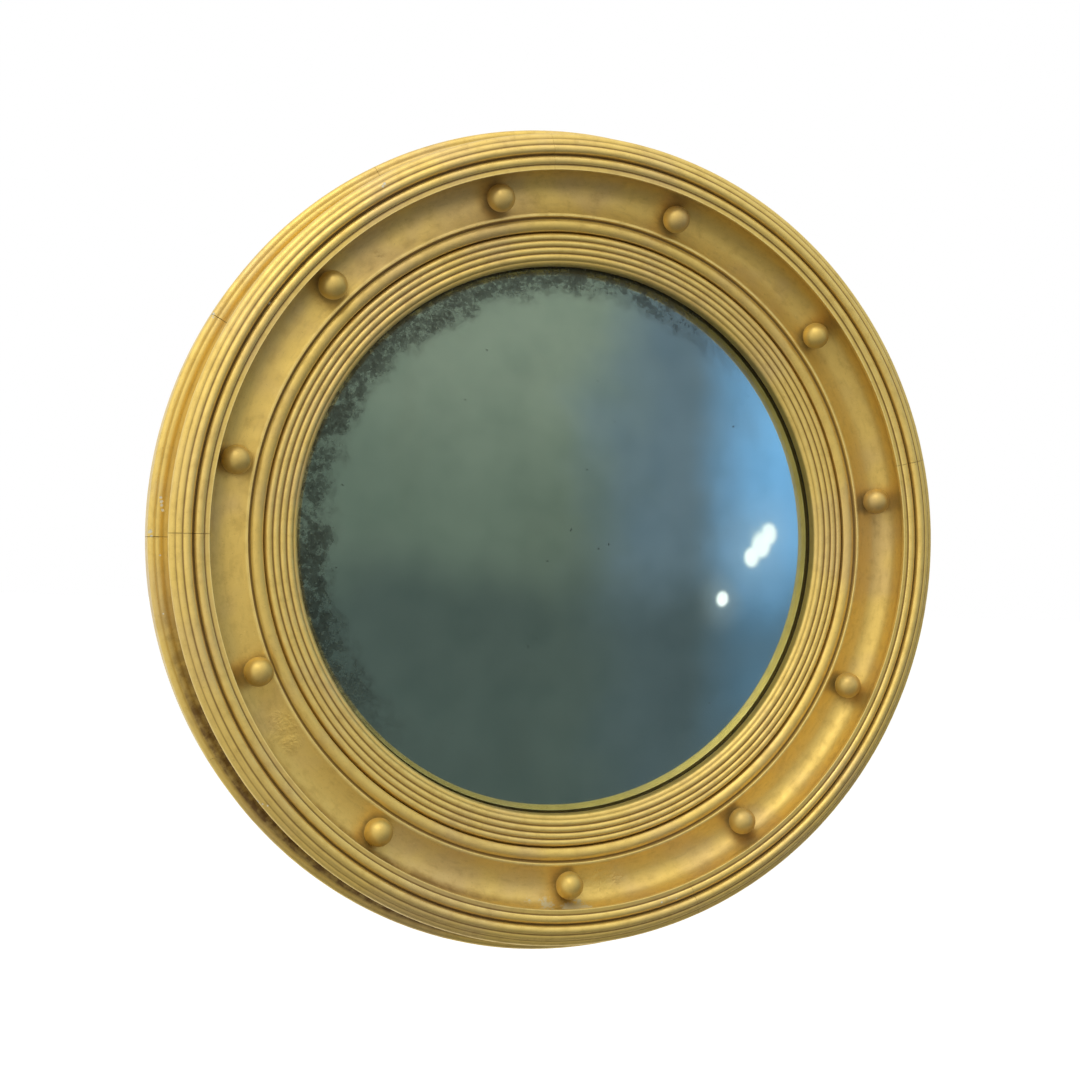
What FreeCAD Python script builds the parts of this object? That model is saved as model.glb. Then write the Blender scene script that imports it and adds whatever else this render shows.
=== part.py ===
import FreeCAD, Part
import math
import os
import Sketcher

# A round convex wall mirror in a turned, gilded wooden frame, in millimetres.
#
# Every ring is drawn as it lies face up on the lathe: the middle of the flat back is the origin,
# the local Z axis runs out of the glass towards the viewer, X points right and Y points to the top.
# HANGING then stands the whole mirror up, so that in the finished part the glass faces -Y, +Z is up
# and the wall touches the back at Y = 0. Angles run anticlockwise from the right, seen from the front.

# Driving sizes. Each ring of the frame starts where the one inside it ends, so its place comes from
# the widths added up outwards from the visible edge of the glass. Levels are heights above the
# flat back.
SIZES = {
    # glass and the silvering behind it
    "sight_radius": 177.3,
    "glass_lap": 6.2,
    "glass_edge_gap": 1.0,
    "glass_thickness": 3.0,
    "glass_curve_radius": 668.0,
    "glass_seat_gap": 0.1,
    "silver_thickness": 0.3,
    "silver_gap": 0.05,
    # reeded slip round the glass
    "slip_board_gap": 5.0,
    "slip_flange_thickness": 6.0,
    "slip_rebate_depth": 6.3,
    "slip_nose_width": 2.8,
    "slip_nose_depth": 4.1,
    "slip_nose_height": 3.5,
    "slip_nose_rise": 1.1,
    "slip_reed_count": 4,
    "slip_reed_width": 4.2,
    "slip_reed_fall": 1.8,
    "slip_reed_rise": 1.2,
    "slip_quirk_width": 1.0,
    "slip_quirk_depth": 2.3,
    "slip_shoulder_width": 3.0,
    "slip_gap": 0.3,
    # cove ring: the bead, the crest inside the hollow, the hollow itself and the wall outside it
    "bead_width": 8.4,
    "bead_rise": 2.3,
    "bead_drop": 0.4,
    "bead_quirk_width": 0.8,
    "cove_crest_width": 1.4,
    "cove_crest_rise": 2.4,
    "cove_inner_width": 11.2,
    "cove_floor_level": 27.0,
    "cove_outer_width": 12.0,
    "cove_outer_rise": 21.2,
    "cove_wall_width": 3.9,
    "board_rebate_width": 10.8,
    # balls in the hollow
    "ball_count": 11,
    "ball_start_angle": 270.0,
    "ball_radius": 8.9,
    "ball_seat_gap": 0.05,
    # how far each ball stands off its even place, in degrees anticlockwise; 03 and 07 stand in theirs
    "ball_01_shift": 0.5,
    "ball_02_shift": 1.3,
    "ball_04_shift": 1.2,
    "ball_05_shift": 0.6,
    "ball_06_shift": 1.1,
    "ball_08_shift": -0.6,
    "ball_09_shift": -1.8,
    "ball_10_shift": -1.2,
    "ball_11_shift": -1.3,
    # how far the one ball that stands off the circle sits towards the glass
    "ball_10_inset": 3.5,
    "ball_pin_radius": 1.0,
    "ball_pin_in_ball": 7.0,
    "ball_pin_in_wood": 8.0,
    # rim moulding, in four segments of unequal length
    "rim_joint_angle_right": 15.0,
    "rim_joint_angle_top": 98.0,
    "rim_joint_angle_left": 181.5,
    "rim_joint_angle_bottom": 290.0,
    "rim_lip_overhang": 0.4,
    "rim_lip_width": 3.4,
    "rim_lip_thickness": 2.4,
    "rim_half_round_width": 5.6,
    "rim_half_round_step": 0.6,
    "rim_half_round_rise": 2.1,
    "rim_quirk_width": 0.6,
    "rim_quirk_slope": 0.4,
    "rim_quirk_depth": 1.4,
    "rim_crown_width": 5.2,
    "rim_crown_inner_step": 1.3,
    "rim_crown_outer_step": 1.6,
    "rim_crown_rise": 1.7,
    "rim_inner_reed_width": 4.0,
    "rim_outer_reed_width": 3.8,
    "rim_outer_reed_step": 0.3,
    "rim_reed_rise": 0.8,
    "rim_edge_drop": 2.0,
    "rim_edge_thickness": 2.4,
    "rim_foot_inset": 1.8,
    "rim_side_hollow": 4.2,
    # back ring, built up from short glued blocks
    "back_block_count": 12,
    "back_start_angle": 2.0,
    "back_front_level": 22.6,
    "back_flat_width": 2.6,
    "back_inner_reed_width": 4.3,
    "back_inner_reed_rise": 0.6,
    "back_outer_reed_width": 4.3,
    "back_outer_reed_rise": 1.0,
    "back_edge_drop": 2.0,
    # glazing blocks, backboard and its screws
    "block_count": 8,
    "block_start_angle": 22.5,
    "block_width": 6.0,
    "block_length": 26.0,
    "board_thickness": 5.0,
    "board_edge_gap": 0.5,
    "board_screw_count": 8,
    "board_screw_start_angle": 0.0,
    "board_screw_head_radius": 3.4,
    "board_screw_head_depth": 2.4,
    "board_screw_shank_radius": 1.5,
    "board_screw_length": 16.0,
    # hanger: a strap with a curled end that holds a loose ring
    "strap_width": 14.0,
    "strap_thickness": 1.2,
    "strap_board_gap": 3.0,
    "strap_foot_to_screw": 5.5,
    "strap_screw_spacing": 10.5,
    "strap_screw_to_hinge": 10.0,
    "strap_screw_head_radius": 2.8,
    "strap_screw_shank_radius": 1.25,
    "strap_screw_length": 14.0,
    "hanger_wire_radius": 1.25,
    "hanger_wire_play": 0.05,
    "hanger_ring_lift": 0.5,
    "hanger_bar_play": 1.0,
    "hanger_corner_radius": 3.0,
    "hanger_leg_length": 4.0,
    # clearances, and how far a drill runs past what it cuts
    "glue_gap": 0.1,
    "hole_gap": 0.05,
    "drill_overrun": 1.0,
}

# Radii, from the glass outwards.
GLASS_RADIUS = "(Sizes.sight_radius + Sizes.glass_lap)"
SLIP_REBATE_RADIUS = f"({GLASS_RADIUS} + Sizes.glass_edge_gap)"
SLIP_NOSE_RADIUS = "(Sizes.sight_radius + Sizes.slip_nose_width)"
SLIP_REED_RADIUS = f"({SLIP_NOSE_RADIUS} + Sizes.slip_reed_count * Sizes.slip_reed_width)"
SLIP_RADIUS = f"({SLIP_REED_RADIUS} + Sizes.slip_quirk_width)"
COVE_BORE_RADIUS = f"({SLIP_RADIUS} + Sizes.slip_gap)"
SHOULDER_RADIUS = f"({COVE_BORE_RADIUS} + Sizes.slip_shoulder_width)"
SLIP_FLANGE_RADIUS = f"({SHOULDER_RADIUS} - Sizes.slip_gap)"
BOARD_REBATE_RADIUS = f"({SHOULDER_RADIUS} + Sizes.board_rebate_width)"
BOARD_SCREW_CIRCLE_RADIUS = f"({SHOULDER_RADIUS} + Sizes.board_rebate_width / 2)"
BEAD_RADIUS = f"({COVE_BORE_RADIUS} + Sizes.bead_width)"
CREST_INNER_RADIUS = f"({BEAD_RADIUS} + Sizes.bead_quirk_width)"
CREST_RADIUS = f"({CREST_INNER_RADIUS} + Sizes.cove_crest_width)"
BALL_CIRCLE_RADIUS = f"({CREST_RADIUS} + Sizes.cove_inner_width)"
COVE_LIP_RADIUS = f"({BALL_CIRCLE_RADIUS} + Sizes.cove_outer_width)"
COVE_SIDE_RADIUS = f"({COVE_LIP_RADIUS} + Sizes.cove_wall_width)"
BACK_INNER_RADIUS = f"({COVE_SIDE_RADIUS} + Sizes.glue_gap)"
RIM_STEP_RADIUS = f"({BACK_INNER_RADIUS} + Sizes.glue_gap)"
RIM_LIP_RADIUS = f"({COVE_LIP_RADIUS} - Sizes.rim_lip_overhang)"
HALF_ROUND_INNER_RADIUS = f"({RIM_LIP_RADIUS} + Sizes.rim_lip_width)"
QUIRK_INNER_RADIUS = f"({HALF_ROUND_INNER_RADIUS} + Sizes.rim_half_round_width)"
QUIRK_OUTER_RADIUS = f"({QUIRK_INNER_RADIUS} + Sizes.rim_quirk_width)"
CROWN_INNER_RADIUS = f"({QUIRK_OUTER_RADIUS} + Sizes.rim_quirk_slope)"
CROWN_OUTER_RADIUS = f"({CROWN_INNER_RADIUS} + Sizes.rim_crown_width)"
RIM_REED_RADIUS = f"({CROWN_OUTER_RADIUS} + Sizes.rim_inner_reed_width)"
RIM_RADIUS = f"({RIM_REED_RADIUS} + Sizes.rim_outer_reed_width)"
RIM_FOOT_RADIUS = f"({RIM_RADIUS} - Sizes.rim_foot_inset)"
BACK_REED_RADIUS = f"({RIM_FOOT_RADIUS} + Sizes.back_flat_width)"
BACK_GROOVE_RADIUS = f"({BACK_REED_RADIUS} + Sizes.back_inner_reed_width)"
BACK_RADIUS = f"({BACK_GROOVE_RADIUS} + Sizes.back_outer_reed_width)"

# Levels, from the back towards the viewer.
SLIP_BACK_LEVEL = "(Sizes.board_thickness + Sizes.slip_board_gap)"
SLIP_SHOULDER_LEVEL = f"({SLIP_BACK_LEVEL} + Sizes.slip_flange_thickness)"
SLIP_GLASS_LEVEL = f"({SLIP_BACK_LEVEL} + Sizes.slip_rebate_depth)"
SLIP_NOSE_LEVEL = f"({SLIP_GLASS_LEVEL} + Sizes.slip_nose_depth)"
SLIP_REED_LEVEL = f"({SLIP_NOSE_LEVEL} + Sizes.slip_nose_height + Sizes.slip_reed_fall)"
SLIP_QUIRK_LEVEL = f"({SLIP_REED_LEVEL} - Sizes.slip_quirk_depth)"
BEAD_FOOT_LEVEL = "(Sizes.cove_floor_level - Sizes.bead_drop)"
CREST_LEVEL = "(Sizes.cove_floor_level + Sizes.cove_crest_rise)"
COVE_LIP_LEVEL = "(Sizes.cove_floor_level + Sizes.cove_outer_rise)"
RIM_LIP_LEVEL = f"({COVE_LIP_LEVEL} + Sizes.rim_lip_thickness)"
RIM_EDGE_LEVEL = f"({RIM_LIP_LEVEL} - Sizes.rim_edge_drop)"

# The hollow is two arcs that are level where they meet, under the balls.
COVE_INNER_CURVE = ("((Sizes.cove_inner_width ^ 2 + Sizes.cove_crest_rise ^ 2)"
                    " / (2 * Sizes.cove_crest_rise))")
COVE_OUTER_CURVE = ("((Sizes.cove_outer_width ^ 2 + Sizes.cove_outer_rise ^ 2)"
                    " / (2 * Sizes.cove_outer_rise))")

# The glass rests on the slip's inner edge, and the silvering follows its back.
GLASS_CENTRE_LEVEL = (f"({SLIP_GLASS_LEVEL} - Sizes.glass_seat_gap"
                      " - sqrt(Sizes.glass_curve_radius ^ 2 - Sizes.sight_radius ^ 2))")
GLASS_BACK_CURVE = "(Sizes.glass_curve_radius - Sizes.glass_thickness)"
SILVER_FRONT_CURVE = f"({GLASS_BACK_CURVE} - Sizes.silver_gap)"
SILVER_BACK_CURVE = f"({SILVER_FRONT_CURVE} - Sizes.silver_thickness)"

# The hanger stands on the cove ring's back, clear of the backboard.
STRAP_FOOT_HEIGHT = f"({BOARD_REBATE_RADIUS} + Sizes.strap_board_gap)"
STRAP_LOWER_SCREW_HEIGHT = f"({STRAP_FOOT_HEIGHT} + Sizes.strap_foot_to_screw)"
STRAP_UPPER_SCREW_HEIGHT = f"({STRAP_LOWER_SCREW_HEIGHT} + Sizes.strap_screw_spacing)"
HINGE_HEIGHT = f"({STRAP_UPPER_SCREW_HEIGHT} + Sizes.strap_screw_to_hinge)"
HINGE_LIFT = "(Sizes.strap_thickness + Sizes.hanger_ring_lift + Sizes.hanger_wire_radius)"

HANGING = FreeCAD.Placement(FreeCAD.Vector(0, 0, 0), FreeCAD.Rotation(FreeCAD.Vector(1, 0, 0), 90))
FACE_AXIS = FreeCAD.Vector(0, 0, 1)

document = FreeCAD.newDocument("ConvexMirror")
sheet = document.addObject("Spreadsheet::Sheet", "Sizes")
for row, (size_name, size_value) in enumerate(SIZES.items(), start=1):
    sheet.set(f"A{row}", size_name)
    sheet.set(f"B{row}", str(size_value))
    sheet.setAlias(f"B{row}", size_name)
document.recompute()

pieces = []


def worth(expression):
    """The number that an expression on the size sheet gives."""
    value = sheet.evalExpression(expression)
    return float(getattr(value, "Value", value))


def keep(piece, label, turn=0.0):
    """Name a finished piece, turn it round the mirror's axis and stand it up with the rest."""
    piece.Label = label
    piece.Placement = HANGING.multiply(
        FreeCAD.Placement(FreeCAD.Vector(0, 0, 0), FreeCAD.Rotation(FACE_AXIS, turn)))
    pieces.append(piece)


def origin_feature(body, role):
    return next(feature for feature in body.Origin.OriginFeatures if feature.Role == role)


def new_sketch(body, name, plane):
    sketch = body.newObject("Sketcher::SketchObject", name)
    sketch.AttachmentSupport = (origin_feature(body, plane), [""])
    sketch.MapMode = "FlatFace"
    return sketch


def arc_between(start, end, bow, amount):
    """The short arc from start to end, and whether the sketch stores its ends in that order.

    The outline runs anticlockwise, so "out" bows to the right of the way it runs and "hollow" bows
    to the left. The amount is the height of the bow, or the radius with "out radius" and
    "hollow radius".
    """
    chord = end.sub(start)
    half = chord.Length / 2
    radius = amount if bow.endswith("radius") else (half ** 2 + amount ** 2) / (2 * amount)
    right = FreeCAD.Vector(chord.y, -chord.x, 0).normalize()
    side = 1 if bow.startswith("hollow") else -1
    middle = (start + end) * 0.5
    centre = middle + right * (side * math.sqrt(radius ** 2 - half ** 2))
    in_order = side < 0
    first, last = (start, end) if in_order else (end, start)
    first_angle = math.atan2(first.y - centre.y, first.x - centre.x)
    last_angle = math.atan2(last.y - centre.y, last.x - centre.x)
    if last_angle < first_angle:
        last_angle += 2 * math.pi
    circle = Part.Circle(centre, FACE_AXIS, radius)
    return Part.ArcOfCircle(circle, first_angle, last_angle), in_order


def bow_radius(corner, following, bow, amount):
    """The expression for the radius of an arc between two corners."""
    if bow.endswith("radius"):
        return amount
    chord_squared = f"((({following[0]}) - ({corner[0]})) ^ 2 + (({following[1]}) - ({corner[1]})) ^ 2)"
    return f"{chord_squared} / (8 * ({amount})) + ({amount}) / 2"


def draw_outline(sketch, corners):
    """Draw a closed outline anticlockwise through corners, each bound to the size sheet.

    A corner is (across, up) or (across, up, bow, amount), where the last two bend the edge that
    leaves it. All four are expressions on the size sheet.
    """
    places = [FreeCAD.Vector(worth(corner[0]), worth(corner[1]), 0) for corner in corners]
    ends = []
    for number, corner in enumerate(corners):
        start = places[number]
        end = places[(number + 1) % len(places)]
        if len(corner) == 2:
            sketch.addGeometry(Part.LineSegment(start, end), False)
            ends.append((1, 2))
        else:
            arc, in_order = arc_between(start, end, corner[2], worth(corner[3]))
            sketch.addGeometry(arc, False)
            ends.append((1, 2) if in_order else (2, 1))
    for number, corner in enumerate(corners):
        following = (number + 1) % len(corners)
        sketch.addConstraint(Sketcher.Constraint(
            "Coincident", number, ends[number][1], following, ends[following][0]))
    for number, corner in enumerate(corners):
        for direction, axis, expression, place in (
                ("DistanceX", -2, corner[0], places[number].x),
                ("DistanceY", -1, corner[1], places[number].y)):
            if expression == "0":
                sketch.addConstraint(Sketcher.Constraint("PointOnObject", number, ends[number][0], axis))
                continue
            index = sketch.addConstraint(Sketcher.Constraint(
                direction, -1, 1, number, ends[number][0], place))
            sketch.setExpression(f"Constraints[{index}]", expression)
        if len(corner) == 4:
            radius = bow_radius(corner, corners[(number + 1) % len(corners)], corner[2], corner[3])
            index = sketch.addConstraint(Sketcher.Constraint("Radius", number, worth(radius)))
            sketch.setExpression(f"Constraints[{index}]", radius)


def draw_circle(sketch, across, up, radius):
    """A circle whose centre and radius are expressions on the size sheet."""
    centre = FreeCAD.Vector(worth(across), worth(up), 0)
    circle = sketch.addGeometry(Part.Circle(centre, FACE_AXIS, worth(radius)), False)
    for direction, axis, expression, place in (
            ("DistanceX", -2, across, centre.x), ("DistanceY", -1, up, centre.y)):
        if expression == "0":
            sketch.addConstraint(Sketcher.Constraint("PointOnObject", circle, 3, axis))
            continue
        index = sketch.addConstraint(Sketcher.Constraint(direction, -1, 1, circle, 3, place))
        sketch.setExpression(f"Constraints[{index}]", expression)
    index = sketch.addConstraint(Sketcher.Constraint("Radius", circle, worth(radius)))
    sketch.setExpression(f"Constraints[{index}]", radius)


def turned_body(name, corners, sweep="360"):
    """A body turned about the mirror's axis from a profile of radius across and level up."""
    body = document.addObject("PartDesign::Body", name)
    profile = new_sketch(body, name + "_profile", "XZ_Plane")
    draw_outline(profile, corners)
    turning = body.newObject("PartDesign::Revolution", name + "_turning")
    turning.Profile = profile
    turning.ReferenceAxis = (profile, ["V_Axis"])
    turning.setExpression("Angle", sweep)
    profile.Visibility = False
    body.Tip = turning
    return body


def pattern_round_axis(body, name, feature, count):
    """Repeat a feature evenly round the mirror's axis."""
    document.recompute()
    pattern = body.newObject("PartDesign::PolarPattern", name)
    pattern.Originals = [feature]
    pattern.Axis = (origin_feature(body, "Z_Axis"), [""])
    pattern.Angle = 360
    pattern.setExpression("Occurrences", count)
    body.Tip = pattern
    document.recompute()
    return pattern


def bore(body, name, across, up, bottom, depth, radius):
    """Drill a round hole that runs up along the mirror's axis from the level of its bottom."""
    drill = body.newObject("PartDesign::SubtractiveCylinder", name)
    drill.setExpression("Radius", radius)
    drill.setExpression("Height", depth)
    drill.setExpression("Placement.Base.x", across)
    drill.setExpression("Placement.Base.y", up)
    drill.setExpression("Placement.Base.z", bottom)
    body.Tip = drill
    document.recompute()
    return drill


def on_circle(radius, angle):
    """Expressions for the place at an angle on a circle round the mirror's axis."""
    return f"{radius} * cos({angle} * 1 deg)", f"{radius} * sin({angle} * 1 deg)"


# ---------------------------------------------------------------- where the balls stand

def ball_offset(number, kind):
    """How far a ball was set off its even place, or nothing where it stands in that place."""
    name = f"ball_{number:02d}_{kind}"
    return f"Sizes.{name}" if name in SIZES else "0"


def ball_angle(number):
    return (f"(Sizes.ball_start_angle + {number - 1} * 360 / Sizes.ball_count"
            f" + {ball_offset(number, 'shift')})")


def ball_reach(number):
    return f"({BALL_CIRCLE_RADIUS} - {ball_offset(number, 'inset')})"


def ball_level(number):
    """The level of a ball's centre where the ball rests on the hollow's inner arc."""
    seat = f"({COVE_INNER_CURVE} - Sizes.ball_seat_gap - Sizes.ball_radius)"
    return (f"(Sizes.cove_floor_level + {COVE_INNER_CURVE}"
            f" - sqrt({seat} ^ 2 - ({ball_offset(number, 'inset')}) ^ 2))")


BALL_NUMBERS = range(1, int(SIZES["ball_count"]) + 1)


# ---------------------------------------------------------------- back ring

def back_block_profile():
    return [
        (BACK_INNER_RADIUS, "0"),
        (BACK_RADIUS, "0"),
        (BACK_RADIUS, "Sizes.back_front_level - Sizes.back_edge_drop", "out",
         "Sizes.back_outer_reed_rise"),
        (BACK_GROOVE_RADIUS, "Sizes.back_front_level", "out", "Sizes.back_inner_reed_rise"),
        (BACK_REED_RADIUS, "Sizes.back_front_level"),
        (BACK_INNER_RADIUS, "Sizes.back_front_level"),
    ]


for block in range(int(SIZES["back_block_count"])):
    block_name = f"back_ring_block_{block + 1:02d}"
    block_body = turned_body(block_name, back_block_profile(), "360 / Sizes.back_block_count")
    block_turn = SIZES["back_start_angle"] + block * 360 / SIZES["back_block_count"]
    keep(block_body, block_name, block_turn)


# ---------------------------------------------------------------- rim moulding

def rim_profile():
    return [
        (RIM_STEP_RADIUS, "Sizes.back_front_level"),
        (RIM_FOOT_RADIUS, "Sizes.back_front_level", "hollow", "Sizes.rim_side_hollow"),
        (RIM_RADIUS, f"{RIM_EDGE_LEVEL} - Sizes.rim_edge_thickness"),
        (RIM_RADIUS, RIM_EDGE_LEVEL, "out", "Sizes.rim_reed_rise"),
        (RIM_REED_RADIUS, f"{RIM_LIP_LEVEL} + Sizes.rim_outer_reed_step", "out",
         "Sizes.rim_reed_rise"),
        (CROWN_OUTER_RADIUS, f"{RIM_LIP_LEVEL} + Sizes.rim_crown_outer_step", "out",
         "Sizes.rim_crown_rise"),
        (CROWN_INNER_RADIUS, f"{RIM_LIP_LEVEL} + Sizes.rim_crown_inner_step"),
        (QUIRK_OUTER_RADIUS, f"{RIM_LIP_LEVEL} - Sizes.rim_quirk_depth"),
        (QUIRK_INNER_RADIUS, f"{RIM_LIP_LEVEL} - Sizes.rim_quirk_depth", "out",
         "Sizes.rim_half_round_rise"),
        (HALF_ROUND_INNER_RADIUS, f"{RIM_LIP_LEVEL} + Sizes.rim_half_round_step"),
        (HALF_ROUND_INNER_RADIUS, RIM_LIP_LEVEL),
        (RIM_LIP_RADIUS, RIM_LIP_LEVEL),
        (RIM_LIP_RADIUS, COVE_LIP_LEVEL),
        (RIM_STEP_RADIUS, COVE_LIP_LEVEL),
    ]


RIM_SEGMENTS = (
    ("rim_segment_top_right", "rim_joint_angle_right", "rim_joint_angle_top", 0),
    ("rim_segment_top_left", "rim_joint_angle_top", "rim_joint_angle_left", 0),
    ("rim_segment_bottom_left", "rim_joint_angle_left", "rim_joint_angle_bottom", 0),
    ("rim_segment_bottom_right", "rim_joint_angle_bottom", "rim_joint_angle_right", 360),
)
for segment_name, first_joint, last_joint, full_turn in RIM_SEGMENTS:
    segment_sweep = f"Sizes.{last_joint} - Sizes.{first_joint} + {full_turn}"
    keep(turned_body(segment_name, rim_profile(), segment_sweep), segment_name, SIZES[first_joint])


# ---------------------------------------------------------------- cove ring

cove_ring = turned_body("cove_ring", [
    (BOARD_REBATE_RADIUS, "0"),
    (COVE_SIDE_RADIUS, "0"),
    (COVE_SIDE_RADIUS, COVE_LIP_LEVEL),
    (COVE_LIP_RADIUS, COVE_LIP_LEVEL, "hollow radius", COVE_OUTER_CURVE),
    (BALL_CIRCLE_RADIUS, "Sizes.cove_floor_level", "hollow radius", COVE_INNER_CURVE),
    (CREST_RADIUS, CREST_LEVEL),
    (CREST_INNER_RADIUS, CREST_LEVEL),
    (BEAD_RADIUS, BEAD_FOOT_LEVEL, "out", "Sizes.bead_rise"),
    (COVE_BORE_RADIUS, BEAD_FOOT_LEVEL),
    (COVE_BORE_RADIUS, SLIP_SHOULDER_LEVEL),
    (SHOULDER_RADIUS, SLIP_SHOULDER_LEVEL),
    (SHOULDER_RADIUS, "Sizes.board_thickness"),
    (BOARD_REBATE_RADIUS, "Sizes.board_thickness"),
])
for ball_number in BALL_NUMBERS:
    bore(cove_ring, f"ball_pin_hole_{ball_number:02d}",
         *on_circle(ball_reach(ball_number), ball_angle(ball_number)),
         "Sizes.cove_floor_level - Sizes.ball_pin_in_wood - Sizes.hole_gap",
         "Sizes.ball_pin_in_wood + Sizes.hole_gap + Sizes.drill_overrun",
         "Sizes.ball_pin_radius + Sizes.hole_gap")
board_screw_place = on_circle(BOARD_SCREW_CIRCLE_RADIUS, "Sizes.board_screw_start_angle")
board_screw_hole = bore(
    cove_ring, "board_screw_hole", *board_screw_place,
    "0", "Sizes.board_screw_length + Sizes.hole_gap",
    "Sizes.board_screw_shank_radius + Sizes.hole_gap")
pattern_round_axis(cove_ring, "board_screw_holes", board_screw_hole, "Sizes.board_screw_count")
for screw_height in (STRAP_LOWER_SCREW_HEIGHT, STRAP_UPPER_SCREW_HEIGHT):
    bore(cove_ring, "strap_screw_hole", "0", screw_height, "0",
         "Sizes.strap_screw_length - Sizes.strap_thickness + Sizes.hole_gap",
         "Sizes.strap_screw_shank_radius + Sizes.hole_gap")
keep(cove_ring, "cove_ring")


# ---------------------------------------------------------------- reeded slip

def slip_reed_corner(number):
    """Where a reed starts, counted from the slip's outer edge; the reeds fall away on a curve."""
    return (f"{SLIP_REED_RADIUS} - {number} * Sizes.slip_reed_width",
            f"{SLIP_REED_LEVEL} - Sizes.slip_reed_fall * ({number} / Sizes.slip_reed_count) ^ 2")


slip_reed_count = int(SIZES["slip_reed_count"])
slip_outline = [
    (SLIP_REBATE_RADIUS, SLIP_BACK_LEVEL),
    (SLIP_FLANGE_RADIUS, SLIP_BACK_LEVEL),
    (SLIP_FLANGE_RADIUS, SLIP_SHOULDER_LEVEL),
    (SLIP_RADIUS, SLIP_SHOULDER_LEVEL),
    (SLIP_RADIUS, SLIP_QUIRK_LEVEL),
]
for reed in range(slip_reed_count):
    slip_outline.append(slip_reed_corner(reed) + ("out", "Sizes.slip_reed_rise"))
slip_outline += [
    slip_reed_corner(slip_reed_count) + ("out", "Sizes.slip_nose_rise"),
    ("Sizes.sight_radius", SLIP_NOSE_LEVEL),
    ("Sizes.sight_radius", SLIP_GLASS_LEVEL),
    (SLIP_REBATE_RADIUS, SLIP_GLASS_LEVEL),
]
keep(turned_body("reeded_slip", slip_outline), "reeded_slip")


# ---------------------------------------------------------------- balls and their pins

def ball_with_pin_hole(number):
    """A turned ball in the hollow, bored from behind for its pin."""
    label = f"ball_{number:02d}"
    ball = document.addObject("Part::Sphere", label + "_turned")
    ball.setExpression("Radius", "Sizes.ball_radius")
    ball.setExpression("Placement.Base.x", ball_reach(number))
    ball.setExpression("Placement.Base.z", ball_level(number))
    drill = document.addObject("Part::Cylinder", label + "_drill")
    drill.setExpression("Radius", "Sizes.ball_pin_radius + Sizes.hole_gap")
    drill.setExpression("Height", "Sizes.ball_radius + Sizes.hole_gap")
    drill.setExpression("Placement.Base.x", ball_reach(number))
    drill.setExpression(
        "Placement.Base.z",
        f"{ball_level(number)} - 2 * Sizes.ball_radius + Sizes.ball_pin_in_ball")
    bored = document.addObject("Part::Cut", label)
    bored.Base = ball
    bored.Tool = drill
    keep(bored, label, worth(ball_angle(number)))


for ball_number in BALL_NUMBERS:
    ball_with_pin_hole(ball_number)

ball_pins = document.addObject("PartDesign::Body", "ball_pins")
pin_sketch = new_sketch(ball_pins, "ball_pin_section", "XY_Plane")
pin_sketch.setExpression(
    "AttachmentOffset.Base.z", "Sizes.cove_floor_level - Sizes.ball_pin_in_wood")
for ball_number in BALL_NUMBERS:
    draw_circle(pin_sketch, *on_circle(ball_reach(ball_number), ball_angle(ball_number)),
                "Sizes.ball_pin_radius")
pins = ball_pins.newObject("PartDesign::Pad", "pins")
pins.Profile = pin_sketch
pins.setExpression(
    "Length", "Sizes.ball_pin_in_wood + Sizes.ball_seat_gap + Sizes.ball_pin_in_ball")
ball_pins.Tip = pins
keep(ball_pins, "ball_pins")


# ---------------------------------------------------------------- glass and silvering

def dome_corners(front_curve, back_curve):
    """A domed disc between two spheres about one centre, cut off square at the glass's edge."""
    front_edge = f"{GLASS_CENTRE_LEVEL} + sqrt({front_curve} ^ 2 - {GLASS_RADIUS} ^ 2)"
    back_edge = f"{GLASS_CENTRE_LEVEL} + sqrt({back_curve} ^ 2 - {GLASS_RADIUS} ^ 2)"
    return [
        ("0", f"{GLASS_CENTRE_LEVEL} + {back_curve}", "hollow radius", back_curve),
        (GLASS_RADIUS, back_edge),
        (GLASS_RADIUS, front_edge, "out radius", front_curve),
        ("0", f"{GLASS_CENTRE_LEVEL} + {front_curve}"),
    ]


keep(turned_body("convex_glass", dome_corners("Sizes.glass_curve_radius", GLASS_BACK_CURVE)),
     "convex_glass")
keep(turned_body("silvering", dome_corners(SILVER_FRONT_CURVE, SILVER_BACK_CURVE)), "silvering")


# ---------------------------------------------------------------- glazing blocks and backboard

glazing_blocks = document.addObject("PartDesign::Body", "glazing_blocks")
block_sketch = new_sketch(glazing_blocks, "glazing_block_plan", "XY_Plane")
block_sketch.setExpression("AttachmentOffset.Base.z", "Sizes.board_thickness")
BLOCK_OUTER_RADIUS = (f"sqrt(({SLIP_REBATE_RADIUS} - Sizes.glue_gap) ^ 2"
                      " - Sizes.block_length ^ 2 / 4)")
BLOCK_TOP_LEVEL = (f"{GLASS_CENTRE_LEVEL}"
                   f" + sqrt({SILVER_BACK_CURVE} ^ 2 - {GLASS_RADIUS} ^ 2) - Sizes.glass_seat_gap")
draw_outline(block_sketch, [
    (f"{BLOCK_OUTER_RADIUS} - Sizes.block_width", "-Sizes.block_length / 2"),
    (BLOCK_OUTER_RADIUS, "-Sizes.block_length / 2"),
    (BLOCK_OUTER_RADIUS, "Sizes.block_length / 2"),
    (f"{BLOCK_OUTER_RADIUS} - Sizes.block_width", "Sizes.block_length / 2"),
])
glazing_block = glazing_blocks.newObject("PartDesign::Pad", "glazing_block")
glazing_block.Profile = block_sketch
glazing_block.setExpression("Length", f"{BLOCK_TOP_LEVEL} - Sizes.board_thickness")
glazing_blocks.Tip = glazing_block
pattern_round_axis(glazing_blocks, "all_glazing_blocks", glazing_block, "Sizes.block_count")
keep(glazing_blocks, "glazing_blocks", SIZES["block_start_angle"])


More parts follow.
